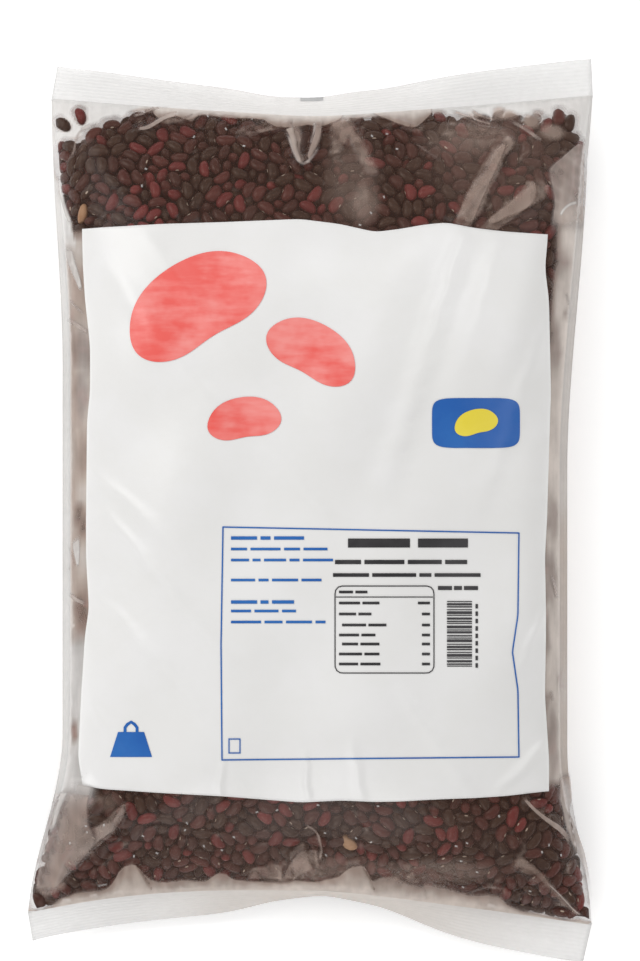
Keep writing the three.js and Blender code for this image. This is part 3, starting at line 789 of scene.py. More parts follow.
def pack_beans(walls):
    """Beans settled against the inside of the film: their centres and the directions of their long axes."""
    spots = np.stack([random.uniform(low, high, PACK_TRIES) for low, high in zip(PACK_LOW, PACK_HIGH)], -1)
    over, under = walls.read(spots, 0)[0], walls.read(spots, 1)[0]
    clear = BEAN_THICK / 2 - 0.4
    inside = (over > clear) & (under > clear) & (np.minimum(over, under) < SHELL - 1.5)
    box = np.subtract(PACK_HIGH, PACK_LOW)
    room = inside.mean() * box[0] * box[1] * box[2] * 1.22
    count = int(PACK_SHARE * room / BEAN_VOLUME)
    centres = spots[inside][:count]
    axes = random.normal(size=(len(centres), 3))
    axes /= np.linalg.norm(axes, axis=1)[:, None]
    n = len(centres)
    owner = np.repeat(np.arange(n), 3)
    places = np.array([-BALL_REACH, 0, BALL_REACH])
    size = random.normal(1, 0.05, n).clip(0.88, 1.14)
    radius = np.repeat(BALL * size, 3)
    reach = places[None, :, None] * size[:, None, None]
    for step in range(PACK_STEPS):
        balls = (centres[:, None] + axes[:, None] * reach).reshape(-1, 3)
        if step % 6 == 0:
            first, second = close_pairs(balls, owner, 2 * BALL + 1.6)
        apart = balls[second] - balls[first]
        distance = np.linalg.norm(apart, axis=1) + 1e-9
        overlap = np.maximum(0, radius[first] + radius[second] - distance)
        push = apart * (0.5 * overlap / distance)[:, None]
        touching = overlap > 0
        total = sum(np.bincount(one[touching], minlength=len(balls)) for one in (first, second))
        shift = np.stack(
            [
                np.bincount(second, push[:, k], len(balls)) - np.bincount(first, push[:, k], len(balls))
                for k in range(3)
            ],
            -1,
        )
        shift *= (1.5 / np.maximum(1.5, total))[:, None]
        settle = 0.16 * max(0.0, 1 - step / (0.75 * PACK_STEPS))
        reads = [walls.read(balls, which) for which in (0, 1)]
        nearer = reads[0][0] < reads[1][0]
        for which, (depth, out) in enumerate(reads):
            need = np.maximum(0, (BEAN_THICK / 2) * (radius / BALL) - depth)
            shift -= out * np.minimum(need, 2.0)[:, None]
            mine = nearer if which == 0 else ~nearer
            pull = mine * np.clip(depth - BEAN_THICK / 2, 0, settle)
            deep = mine * np.clip(depth - (SHELL - 2.2), 0, 0.5)
            shift += out * (pull + deep)[:, None]
        shift = shift.reshape(-1, 3, 3)
        centres = centres + shift.mean(1)
        axes = axes * (2 * BALL_REACH) + (shift[:, 2] - shift[:, 0])
        axes /= np.linalg.norm(axes, axis=1)[:, None]
    balls = (centres[:, None] + axes[:, None] * reach).reshape(-1, 3)
    worst = np.minimum(walls.read(balls, 0)[0], walls.read(balls, 1)[0]).reshape(-1, 3).min(1)
    kept = worst > BEAN_THICK / 2 - 1.1
    return centres[kept], axes[kept], size[kept]


def bean_template(around=8, rings=6):
    """One kidney-shaped bean about the origin: points, triangles and places on it from -1 to 1."""
    points, places = [], []
    for i in range(rings):
        t = math.cos(math.pi * (i + 1) / (rings + 1))
        full = (1 - abs(t) ** 2.3) ** 0.5
        for k in range(around):
            turn = 2 * math.pi * k / around
            wide, tall = full * math.cos(turn), full * math.sin(turn)
            bend = 0.95 * (t * t - 0.35)
            points.append((BEAN_LENGTH / 2 * t, BEAN_WIDTH / 2 * wide * 0.97 + bend, BEAN_THICK / 2 * tall))
            places.append((t, wide, tall))
    for t in (1, -1):
        points.append((BEAN_LENGTH / 2 * t, 0.95 * 0.65, 0))
        places.append((t, 0, 0))
    faces = []
    for i in range(rings - 1):
        for k in range(around):
            a, b = i * around + k, i * around + (k + 1) % around
            faces += [(a, a + around, b + around), (a, b + around, b)]
    top, bottom = rings * around, rings * around + 1
    last = (rings - 1) * around
    for k in range(around):
        faces.append((top, k, (k + 1) % around))
        faces.append((bottom, last + (k + 1) % around, last + k))
    return np.array(points), np.array(faces)[:, ::-1], np.array(places)


def bean_frames(centres, axes, walls):
    """For each bean, its length, width and thickness directions: it lies flat to the film, more or less."""
    depths = [walls.read(centres, which) for which in (0, 1)]
    nearer = (depths[0][0] < depths[1][0])[:, None]
    out = np.where(nearer, depths[0][1], depths[1][1])
    depth = np.where(nearer[:, 0], depths[0][0], depths[1][0])
    flat = out - axes * np.sum(out * axes, 1)[:, None]
    flat /= np.linalg.norm(flat, axis=1)[:, None] + 1e-9
    wide = np.cross(flat, axes)
    roll = random.normal(0, np.where(depth < 4, 0.42, 1.2))
    flip = np.where(random.random(len(centres)) < 0.5, 0, np.pi)
    turn = (roll + flip)[:, None]
    return axes, wide * np.cos(turn) + flat * np.sin(turn), flat * np.cos(turn) - wide * np.sin(turn)


def inside_film(points):
    """The same points, those outside the film moved just inside it."""
    reach = filled_limit(np.clip((points[:, 1] + 205) / 415, 0, 1)) - 0.012
    reach = mix(reach, 0.993, smooth((-155 - points[:, 1]) / 15))
    reach = reach * half_width(points[:, 1], points[:, 0])
    points[:, 0] = np.clip(points[:, 0], -reach, reach)
    across = np.clip(points[:, 0] / half_width(points[:, 1], points[:, 0]), -1, 1)
    points[:, 1] = np.clip(points[:, 1], seal_line(BOTTOM, across)[0] + 1.8, seal_line(TOP, across)[0] - 1.8)
    _, face, back = levels(points[:, 0], points[:, 1], ridges=False)
    thin = face - back < 1.4
    held = np.clip(points[:, 2], back + 0.6, np.maximum(back + 0.7, face - 0.6))
    points[:, 2] = np.where(thin, (face + back) / 2, held)
    return points


def make_beans(name, centres, frames, size, material):
    template, faces, places = bean_template()
    n = len(centres)
    stretch = size[:, None] * random.normal(1, [0.05, 0.05, 0.05], (n, 3)).clip(0.88, 1.12)
    points = centres[:, None]
    for k in range(3):
        points = points + frames[k][:, None] * (template[None, :, k] * stretch[:, None, k])[..., None]
    points = inside_film(points.reshape(-1, 3))
    all_faces = (faces[None] + np.arange(n)[:, None, None] * len(template)).reshape(-1, 3)
    tone = np.repeat(random.beta(1.6, 2.2, n), len(template))
    attributes = {"on_bean": np.tile(places, (n, 1)), "tone": tone}
    return belongs(build(name, points, all_faces, material, attributes))


# The uneven top edge of the beans where the corners of the bag are empty, as places in the picture.
BEANS_TOP = [
    (40, 172), (52, 156), (60, 141), (74, 139), (86, 136), (93, 127), (103, 125), (108, 120), (120, 120),
    (132, 112), (146, 105), (430, 105), (436, 116), (452, 116), (470, 114), (482, 116), (488, 121),
    (496, 113), (505, 111), (515, 115), (521, 122), (535, 117), (546, 125), (555, 118), (563, 116),
    (570, 122), (576, 134), (579, 148), (592, 172),
]
# Beans that have their own place: most lie apart in the slack film. Place and direction of the long axis, as
# the camera sees them.
PLACED_BEANS = [
    (62, 124, 19, 12), (80, 115.5, 6, 17), (38.5, 902, 5, 14), (562, 913, 9, 2), (586, 913, 8, 5),
    (522, 908, 9, 1), (349, 843.5, 9, 9),
]


def settle_strays(centres, axes):
    """Empties the slack corners and puts a few beans in their own places."""
    px, py = pixels(*centres.T)
    kept = py > np.interp(px, *np.array(BEANS_TOP).T)
    centres, axes, px, py = centres[kept], axes[kept], px[kept], py[kept]
    crowding = np.zeros(len(centres), bool)
    for x, y, run, fall in PLACED_BEANS:
        nearest = np.argmin(np.hypot(px - x, py - y))
        spot = seen_at(np.array(float(x)), np.array(float(y)))
        _, face, back = levels(spot[0], spot[1], ridges=False)
        centres[nearest] = spot[0], spot[1], max((face + back) / 2, face - 3.0)
        axes[nearest] = np.array([run, -fall, 0]) / math.hypot(run, fall)
        px[nearest] = 0
        apart = np.linalg.norm(centres - centres[nearest], axis=1)
        crowding |= (apart < 5.4) & (apart > 0)
    kept[np.flatnonzero(kept)[crowding]] = False
    return kept, centres[~crowding], axes[~crowding]


def thin_margin_beans(centres):
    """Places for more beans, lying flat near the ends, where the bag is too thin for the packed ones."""
    across = random.uniform(-0.99, 0.99, MARGIN_TRIES)
    bottom_y, top_y = seal_line(BOTTOM, across)[0], seal_line(TOP, across)[0]
    inward = random.uniform(2.4, 60, MARGIN_TRIES)
    y = np.where(random.random(MARGIN_TRIES) < 0.5, bottom_y + inward, top_y - inward)
    x = across * half_width(y, across)
    _, face, back = levels(x, y, ridges=False)
    px, py = pixels(x, y, (face + back) / 2)
    fits = (face - back < 14) & ((face - back > 0.9) | ((y < -155) & (inward > 4)))
    fits &= py > np.interp(px, *np.array(BEANS_TOP).T) + 1
    spots = np.stack([x, y, (face + back) / 2], -1)[fits]
    chosen = []
    for spot in spots:
        taken = np.concatenate([centres, chosen]) if chosen else centres
        if np.hypot(*(taken[:, :2] - spot[:2]).T).min() > MARGIN_APART:
            chosen.append(spot)
    return np.array(chosen).reshape(-1, 3)


walls = Walls()
centres, axes, size = pack_beans(walls)
kept, centres, axes = settle_strays(centres, axes)
more = thin_margin_beans(centres)
turns = random.uniform(0, np.pi, len(more))
centres = np.concatenate([centres, more])
axes = np.concatenate([axes, np.stack([np.cos(turns), np.sin(turns), 0 * turns], -1)])
size = np.concatenate([size[kept], random.normal(0.95, 0.05, len(more)).clip(0.85, 1.1)])
ball_radius = np.repeat(BALL * size[:, None], 3, 1)
ball_places = np.array([-1, 0, 1])[None, :, None] * BALL_REACH * size[:, None, None]
balls = centres[:, None] + axes[:, None] * ball_places

# The printed panel's outline
PANEL_ROWS = [235, 268, 300, 345, 392, 421, 520, 557, 609, 634, 697, 758, 787]
PANEL_LEFT = [82, 83, 85, 90, 90, 87, 86, 86, 89, 85, 81, 78, 83]
PANEL_RIGHT = [548, 545, 549, 550, 551, 550, 547, 545, 546, 546, 545, 549, 549]
PANEL_COLUMNS = [82, 100, 160, 225, 300, 340, 375, 400, 425, 447, 475, 505, 548]
PANEL_TOP = [229, 227.5, 224, 222, 219, 224, 232, 229, 224.5, 222.5, 228, 231.5, 234.5]
PANEL_BOTTOM = [785, 789, 793, 796.5, 802.5, 800.5, 802, 801.5, 800, 799, 798, 796, 791]


def eased(at, places, values):
    """A soft curve through a few measured edge points."""
    wide = np.linspace(places[0], places[-1], 200)
    line = np.interp(wide, places, values)
    kernel = bell(np.linspace(-2, 2, 13))
    padded = np.pad(line, 6, mode="edge")
    return np.interp(at, wide, np.convolve(padded, kernel / kernel.sum(), "valid"))


def panel_spot(u, v):
    """Place in the picture of a point of the panel: u runs left to right and v from the top down."""
    guess = mix(PANEL_COLUMNS[0], PANEL_COLUMNS[-1], u)
    y = mix(eased(guess, PANEL_COLUMNS, PANEL_TOP), eased(guess, PANEL_COLUMNS, PANEL_BOTTOM), v)
    x = mix(eased(y, PANEL_ROWS, PANEL_LEFT), eased(y, PANEL_ROWS, PANEL_RIGHT), u)
    return x, y


def under_panel(points):
    """Which points of the face lie beneath the printed panel and well in from its edge."""
    x, y, z = points.T
    return (np.abs(x) < HIDDEN_HALF) & (y > HIDDEN_REACH[0]) & (y < HIDDEN_REACH[1]) & (z > SIDE_LEVEL + 1)


HIDDEN_HALF, HIDDEN_REACH = 113, (-137, 134)
hidden = under_panel(centres)
frames = bean_frames(centres, axes, walls)
BEAN_KINDS = [
    ("beans_black_red", 0.34, colour(48, 33, 26), colour(64, 45, 35)),
    ("beans_dark_maroon", 0.32, colour(58, 32, 28), colour(80, 42, 37)),
    ("beans_maroon", 0.22, colour(76, 36, 33), colour(98, 48, 44)),
    ("beans_red", 0.11, colour(104, 38, 40), colour(128, 52, 52)),
    ("beans_tan", 0.002, colour(176, 132, 98), colour(206, 166, 130)),
]
# Beans that catch the eye in the photo: place in the picture and kind.
MARKED_BEANS = [
    ((349, 843.5), 4), ((82, 206), 4), ((80, 115), 3), ((62, 124), 0), ((505, 814), 3), ((515, 828), 3),
    ((412, 829), 3), ((447, 832), 3), ((438, 848), 3), ((138, 822), 3), ((110, 848), 3), ((127, 853), 3),
    ((58, 882), 3), ((286, 816), 3), ((270, 820), 3), ((245, 862), 3), ((214, 842), 3), ((190, 851), 3),
    ((168, 136), 3), ((193, 134), 3), ((137, 150), 3), ((152, 182), 3), ((168, 180), 3), ((212, 176), 3),
    ((222, 198), 3), ((163, 213), 3), ((308, 198), 3), ((342, 198), 3), ((382, 162), 3), ((405, 192), 3),
    ((425, 190), 3), ((437, 115), 3), ((457, 122), 3), ((500, 170), 3), ((508, 192), 3), ((563, 112), 2),
    ((38, 902), 1), ((562, 913), 1), ((586, 913), 1), ((522, 908), 0),
]
shares = np.array([kind[1] for kind in BEAN_KINDS])
drawn = random.choice(len(BEAN_KINDS), len(centres), p=shares / shares.sum())
faceward = walls.read(centres, 0)[0] < 4.5
drawn = np.where(faceward & (drawn == 4), 2, drawn)
for (px, py), kind in MARKED_BEANS:
    seen_x, seen_y = pixels(*centres.T)
    drawn[np.argmin(np.hypot(seen_x - px, seen_y - py) + 1000 * ~faceward)] = kind
for number, (name, _, dark, light) in enumerate(BEAN_KINDS):
    chosen = (drawn == number) & ~hidden
    skin = bean_material(name, dark, light)
    make_beans(name, centres[chosen], [f[chosen] for f in frames], size[chosen], skin)

# The film
tree = kdtree.KDTree(balls.size // 3)
for number, ball in enumerate(balls.reshape(-1, 3)):
    tree.insert(Vector(ball), number)
tree.balance()


# Thin milky veils over the beans: place, half width and half height in pixels, and how milky.
VEILS = [
    (352, 178, 30, 50, 0.12), (366, 205, 14, 22, 0.10), (500, 165, 80, 65, 0.09),
    (300, 850, 260, 60, 0.045), (458, 138, 48, 18, 0.07), (108, 802, 12, 10, 0.10),
    (330, 868, 60, 12, 0.10), (440, 872, 60, 12, 0.12), (476, 110, 8, 7, 0.30), (504, 111, 14, 8, 0.34),
    (533, 119, 9, 9, 0.26), (140, 108, 14, 5, 0.22), (552, 132, 12, 8, 0.2),
]
# The right edge of the slack strip of film at the top left: pixel heights, and how far right it reaches.
SLACK_EDGE = [160, 180, 200, 215, 230, 250], [50, 57, 64, 69, 74, 80]
# How milky the film is: on a bean, how much more it is off the beans and how far off that is, in the empty
# corners, along the left and the right flank, and at most.
ON_BEAN, OFF_BEAN, OFF_REACH = 0.225, 0.39, 3.5
CORNER_HAZE, CORNER_PALE = 0.74, 0.85
FLANK_HAZE = 0.67, 0.815
MOST_HAZE = 0.86
# Left and right: where the flanks' milk starts, as a share of the half width, and how far down and up it is.
FLANK_STARTS, FLANK_LOW, FLANK_HIGH = (0.81, 0.86), (158, 150), (150, 165)
# where the right lip's painted sheen fades and where the left flank's painted sheen starts
RIGHT_LIP_SHEEN_FADES, LEFT_FLANK_SHEEN_STARTS = 490, 630  # pixel heights


def stand_off(points):
    """How far each point of the film is from the nearest bean."""
    radii = ball_radius.ravel()
    gaps = np.empty(len(points))
    for i, point in enumerate(points):
        _, number, distance = tree.find(point)
        gaps[i] = distance - radii[number]
    return gaps


def film_haze(gap, points, across, from_bottom, from_top, sign):
    """How milky and how pale the film is. It is clear where it touches a bean. On the flanks part of its
    paleness is painted sheen.
    """
    x, y, z = points.T
    px, py = pixels(x, y, z)
    wx, wy = wandering(px, py)
    side = np.abs(across)
    left = across < 0
    haze = ON_BEAN + OFF_BEAN * (1 - np.exp(-np.maximum(0, gap - 1.6) / OFF_REACH))
    scallop = 1 + 0.3 * np.sin(x / 7.5 + 2 * np.sin(x / 19)) + 0.15 * np.sin(x / 3.3)
    reach = {
        -1: 2.5 + 5.0 * bell((across + 0.05) / 0.55),
        1: 2.5 + 2.5 * bell((across + 0.05) / 0.6),
    }
    near = [
        smooth(1 - inward / (reach[hand] * scallop)) for hand, inward in ((-1, from_bottom), (1, from_top))
    ]
    haze = haze + 0.45 * np.maximum(*near)
    pale = np.maximum(near[0] ** 3 * 0.25, near[1] ** 1.5 * 0.6)
    streaks = np.sin(y / 9 + 2 * np.sin(y / 23)) * np.sin(across * 40)
    starts, low, high = (np.where(left, *values) for values in (FLANK_STARTS, FLANK_LOW, FLANK_HIGH))
    flank = smooth((side - starts) / 0.06) * smooth((high - y) / 10) * smooth((y + low) / 10)
    lip = smooth((side - filled_limit(0.5) + 0.012) / 0.012)
    if sign < 0:
        return np.minimum(haze + 0.3 * flank, 0.8), np.maximum(pale, 0.6 * lip)
    haze = haze + fold_height(px, py, POCKETS)[1]
    for x0, y0, wide, tall, milk in VEILS:
        haze = haze + milk * smooth(1.4 - np.hypot((wx - x0) / wide, (wy - y0) / tall))
    empty = smooth((np.interp(px, *np.array(BEANS_TOP).T) + 2 - py) / 6)
    haze = mix(haze, CORNER_HAZE, empty * smooth((gap - 0.9) / 2.0))
    pale = mix(pale, CORNER_PALE, empty * smooth((gap - 0.4) / 1.2))
    for x0, y0, run, fall in PLACED_BEANS[:-1]:
        size = math.hypot(run, fall)
        length = ((px - x0) * run + (py - y0) * fall) / size
        width = ((py - y0) * run - (px - x0) * fall) / size
        bare = smooth((1.25 - np.hypot(length / 9.5, width / 6)) / 0.3)
        haze, pale = mix(haze, np.minimum(haze, 0.15), bare), pale * (1 - bare)
    cleared = np.zeros(len(x))
    for x0, y0, wide, tall in CLEARINGS:
        cleared = np.maximum(cleared, smooth(1.4 - np.hypot((wx - x0) / wide, (wy - y0) / tall)))
    haze = np.maximum(haze, flank * (np.where(left, *FLANK_HAZE) + 0.07 * streaks) * (1 - 0.32 * cleared))
    # the flanks' pale lip, palest on the left, and the paler lower left flank: partly milky film seen
    # edgewise, partly painted sheen
    right_lip_sheen = mix(0.6, 0.2, smooth((wy - RIGHT_LIP_SHEEN_FADES) / 50))
    pale = np.maximum(pale, flank * np.where(left, 1.0, right_lip_sheen) * lip)
    pale = np.maximum(pale, flank * left * smooth((wy - LEFT_FLANK_SHEEN_STARTS) / 20) * 0.8 * (1 - cleared))
    pale = np.maximum(pale, flank * np.where(left, 0.35 * clamp(streaks), 0.22))
    first, last = SLACK_EDGE[0][0], SLACK_EDGE[0][-1]
    slack = smooth((py - first) / 15) * smooth((last - py) / 10) * left
    slack = slack * smooth((np.interp(py, *SLACK_EDGE) - wx) / 2.5)
    haze, pale = mix(haze, 0.85, slack), mix(pale, 0.85, slack)
    return np.minimum(haze, MOST_HAZE), np.minimum(pale, 1)


def film_body():
    """The filled part of the film: a closed skin, draped a little between the beans."""
    inner = np.linspace(-1, 1, 184)
    inner = mix(inner, np.sin(inner * np.pi / 2), 0.3)
    close = np.linspace(0, 0.17, 86)
    along = np.concatenate([close, np.linspace(0.17, 0.83, 56)[1:-1], 1 - close[::-1]])
    share = np.repeat(along[:, None], len(inner) + 4, 1)
    limit = filled_limit(share)
    across = np.concatenate([inner * limit[:, 2:-2], (1 + limit[:, :1]) / 2, np.ones((len(along), 1))], 1)
    across = np.concatenate([-across[:, :-3:-1], across], 1)
    bottom_y, top_y = seal_line(BOTTOM, across)[0], seal_line(TOP, across)[0]
    y = mix(bottom_y, top_y, share)
    x = across * half_width(y, across)
    _, face, back = levels(x, y)
    layers, hazes, pales = [], [], []
    inward = (y - bottom_y).ravel(), (top_y - y).ravel()
    inland = smooth((1 - np.abs(across.ravel())) / 0.06) * smooth(np.minimum(*inward) / 7)
    for height, sign in ((face + FILM_HALF, 1), (np.maximum(0.02, back - FILM_HALF), -1)):
        points = np.stack([x, y, height], -1).reshape(-1, 3)
        gap = stand_off(points)
        seen_x, seen_y = pixels(*points.T)
        beans_below = smooth((seen_y - np.interp(seen_x, *np.array(BEANS_TOP).T)) / 4)
        points[:, 2] -= sign * 0.6 * smooth((gap - 0.5) / 3.0) * inland * beans_below
        points[:, 2] = np.maximum(points[:, 2], 0.02)
        layers.append(points)
        haze, pale = film_haze(gap, points, across.ravel(), *inward, sign)
        hazes.append(haze)
        pales.append(pale)
    points = np.concatenate(layers)
    around = np.tile(across.ravel(), 2) / 4 + np.repeat([0.25, 0.75], across.size)
    uv = np.stack([around, np.tile(share.ravel(), 2)], -1)
    milk = {"haze": np.concatenate(hazes), "pale": np.concatenate(pales)}
    return belongs(build("film", points, skin_faces(*across.shape), film_material(), milk, uv))


RIB_SPACING, RIB_HEIGHT = 2.3, 0.07  # crimp ribs of the fins


def crimp_tree():
    """Ribs that run along a fin: its points move along its normal in a wave outwards from the seal. The same
    wave stores painted shade as 'crimp'.
    """
    tree = bpy.data.node_groups.new("crimp_ribs", "GeometryNodeTree")
    tree.interface.new_socket("Fin", in_out="INPUT", socket_type="NodeSocketGeometry")
    for name in ("Rib Spacing", "Rib Height", "Fin Width"):
        tree.interface.new_socket(name, in_out="INPUT", socket_type="NodeSocketFloat")
    tree.interface.new_socket("Material", in_out="INPUT", socket_type="NodeSocketMaterial")
    tree.interface.new_socket("Fin", in_out="OUTPUT", socket_type="NodeSocketGeometry")
    nodes = Nodes(tree)
    given, end = nodes.add("NodeGroupInput").outputs, nodes.add("NodeGroupOutput")

    def stored(name, kind="FLOAT"):
        node = nodes.add("GeometryNodeInputNamedAttribute", data_type=kind)
        node.inputs["Name"].default_value = name
        return node.outputs["Attribute"]

    out = stored("out")
    turns = nodes.math("MULTIPLY", nodes.math("DIVIDE", out, given["Rib Spacing"]), 2 * math.pi)
    from_edge = nodes.math("SUBTRACT", given["Fin Width"], out)
    ends = nodes.math("MULTIPLY", nodes.ramp(out, 0, 3 * MM), nodes.ramp(from_edge, 0, 2 * MM))
    wave = nodes.math("MULTIPLY", nodes.math("COSINE", turns), ends)
    rise = nodes.math("MULTIPLY", wave, given["Rib Height"])
    offset = nodes.add("ShaderNodeVectorMath", operation="SCALE")
    nodes.fill(offset, {"Vector": stored("normal_way", "FLOAT_VECTOR"), "Scale": rise})
    # painted shade: lighter where the rib rises, darker in its groove, scaled by the stored shade strength
    shade = nodes.math("MULTIPLY_ADD", nodes.math("MULTIPLY", wave, stored("rib_shade_strength")), 0.5, 0.5)
    geometry = given["Fin"]
    for kind, inputs in (
        ("SetPosition", {"Offset": offset.outputs["Vector"]}),
        ("StoreNamedAttribute", {"Name": "crimp", "Value": shade}),
        ("RealizeInstances", {}),
        ("SetMaterial", {"Material": given["Material"]}),
    ):
        node = nodes.fill(nodes.add("GeometryNode" + kind), {"Geometry": geometry, **inputs})
        geometry = node.outputs["Geometry"]
    nodes.link(geometry, end.inputs["Fin"])
    return tree


CRIMP = crimp_tree()


def ruffled(end, across, out):
    """The fin's middle surface with its slow ruffle, and its normal."""
    middle, normal = fin_surface(end, across, out)
    x = middle[..., 0]
    ruffle = 0.45 * np.sin(x / 14 + 1.3 * np.sin(x / 37))
    ruffle = ruffle + 0.2 * np.sin(x / 7.3 + out / 6 + 2 * np.sin(x / 29))
    return middle + normal * (ruffle * smooth(out / FIN_WIDTH))[..., None], normal


def with_ribs(name, points, faces, material, out, normal, rib_shade_strength, attributes, uv=None):
    """A piece of a fin with its crimp ribs, as a plain mesh."""
    guides = {"out": out.ravel() * MM, "normal_way": normal.reshape(-1, 3), "rib_shade_strength": rib_shade_strength.ravel()}
    piece = build(name, points, faces, material, {**guides, **attributes}, uv)
    ribs = piece.modifiers.new("crimp", "NODES")
    ribs.node_group = CRIMP
    values = {"Rib Spacing": RIB_SPACING * MM, "Rib Height": RIB_HEIGHT * MM, "Fin Width": FIN_WIDTH * MM}
    values["Material"] = material
    for item in CRIMP.interface.items_tree:
        if item.in_out == "INPUT" and item.name in values:
            ribs[item.identifier] = values[item.name]
    depsgraph = bpy.context.evaluated_depsgraph_get()
    ribbed = bpy.data.meshes.new_from_object(
        piece.evaluated_get(depsgraph), preserve_all_data_layers=True, depsgraph=depsgraph
    )
    piece.modifiers.clear()
    piece.data = ribbed
    ribbed.name = name
    return belongs(piece)


def film_fin(name, end, warm_shade_amount):
    """A sealed fin. Where it hangs steepest its colour is painted darker and warmer: painted shade."""
    places, outs = np.linspace(-1, 1, 120), np.linspace(-1.2, FIN_WIDTH, 61)
    across, out = np.meshgrid(places, outs)
    middle, normal = ruffled(end, across, out)
    x = middle[..., 0]
    points = np.concatenate([(middle + normal * side * FILM_HALF).reshape(-1, 3) for side in (1, -1)])
    faces = skin_faces(*across.shape)
    if end["sign"] < 0:
        faces = faces[:, ::-1]
    uv = np.tile(np.stack([(across + 1) / 2, out / FIN_WIDTH], -1).reshape(-1, 2), (2, 1))
    shade_strength = 0.5 + 0.5 * np.sin(x / 31 + 1.1 * np.sin(x / 13))
    # painted shade, darker and warmer where the fin hangs steepest
    warm_shade = np.tile((warm_shade_amount * bell((across - end["peak"]) / 0.5)).ravel(), 2)
    return with_ribs(
        name, points, faces, seals, np.tile(out, (2, 1)), np.tile(normal, (2, 1, 1)), np.tile(shade_strength, (2, 1)),
        {"warm_shade": warm_shade}, uv,
    )


film = film_body()
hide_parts("bag")
seals = seal_material()
# how much painted shade each fin gets where it hangs steepest
film_fin("seal_top", TOP, 0.15)
film_fin("seal_bottom", BOTTOM, 0.85)


EYE_MARK_ACROSS, EYE_MARK_OUT = (-0.055, 0.03), (17.4, 21.6)


def eye_mark():
    """The small grey mark at the edge of the top fin, by which a machine lines up the film."""
    across, out = np.meshgrid(np.linspace(*EYE_MARK_ACROSS, 16), np.linspace(*EYE_MARK_OUT, 8))
    middle, normal = ruffled(TOP, across, out)
    points = (middle + normal * (FILM_HALF + 0.12)).reshape(-1, 3)
    grey = ink_material("grey_ink", colour(150, 150, 150), colour(186, 186, 186))
    return with_ribs("eye_mark", points, grid_faces(*across.shape), grey, out, normal, np.ones_like(out), {})


eye_mark()


def curve(places, count):
    """A smooth curve through a row of places."""
    p = np.array(places, float)
    p = np.concatenate([2 * p[:1] - p[1:2], p, 2 * p[-1:] - p[-2:-1]])
    at = np.linspace(0, len(places) - 1, count)
    i = np.minimum(at.astype(int), len(places) - 2)
    t = (at - i)[:, None]
    a, b, c, d = (p[i + k] for k in range(4))
    return b + 0.5 * t * (c - a + t * (2 * a - 5 * b + 4 * c - d + t * (3 * (b - c) + d - a)))


def fade(t, share):
    return smooth(t / share) if share else np.ones_like(t)


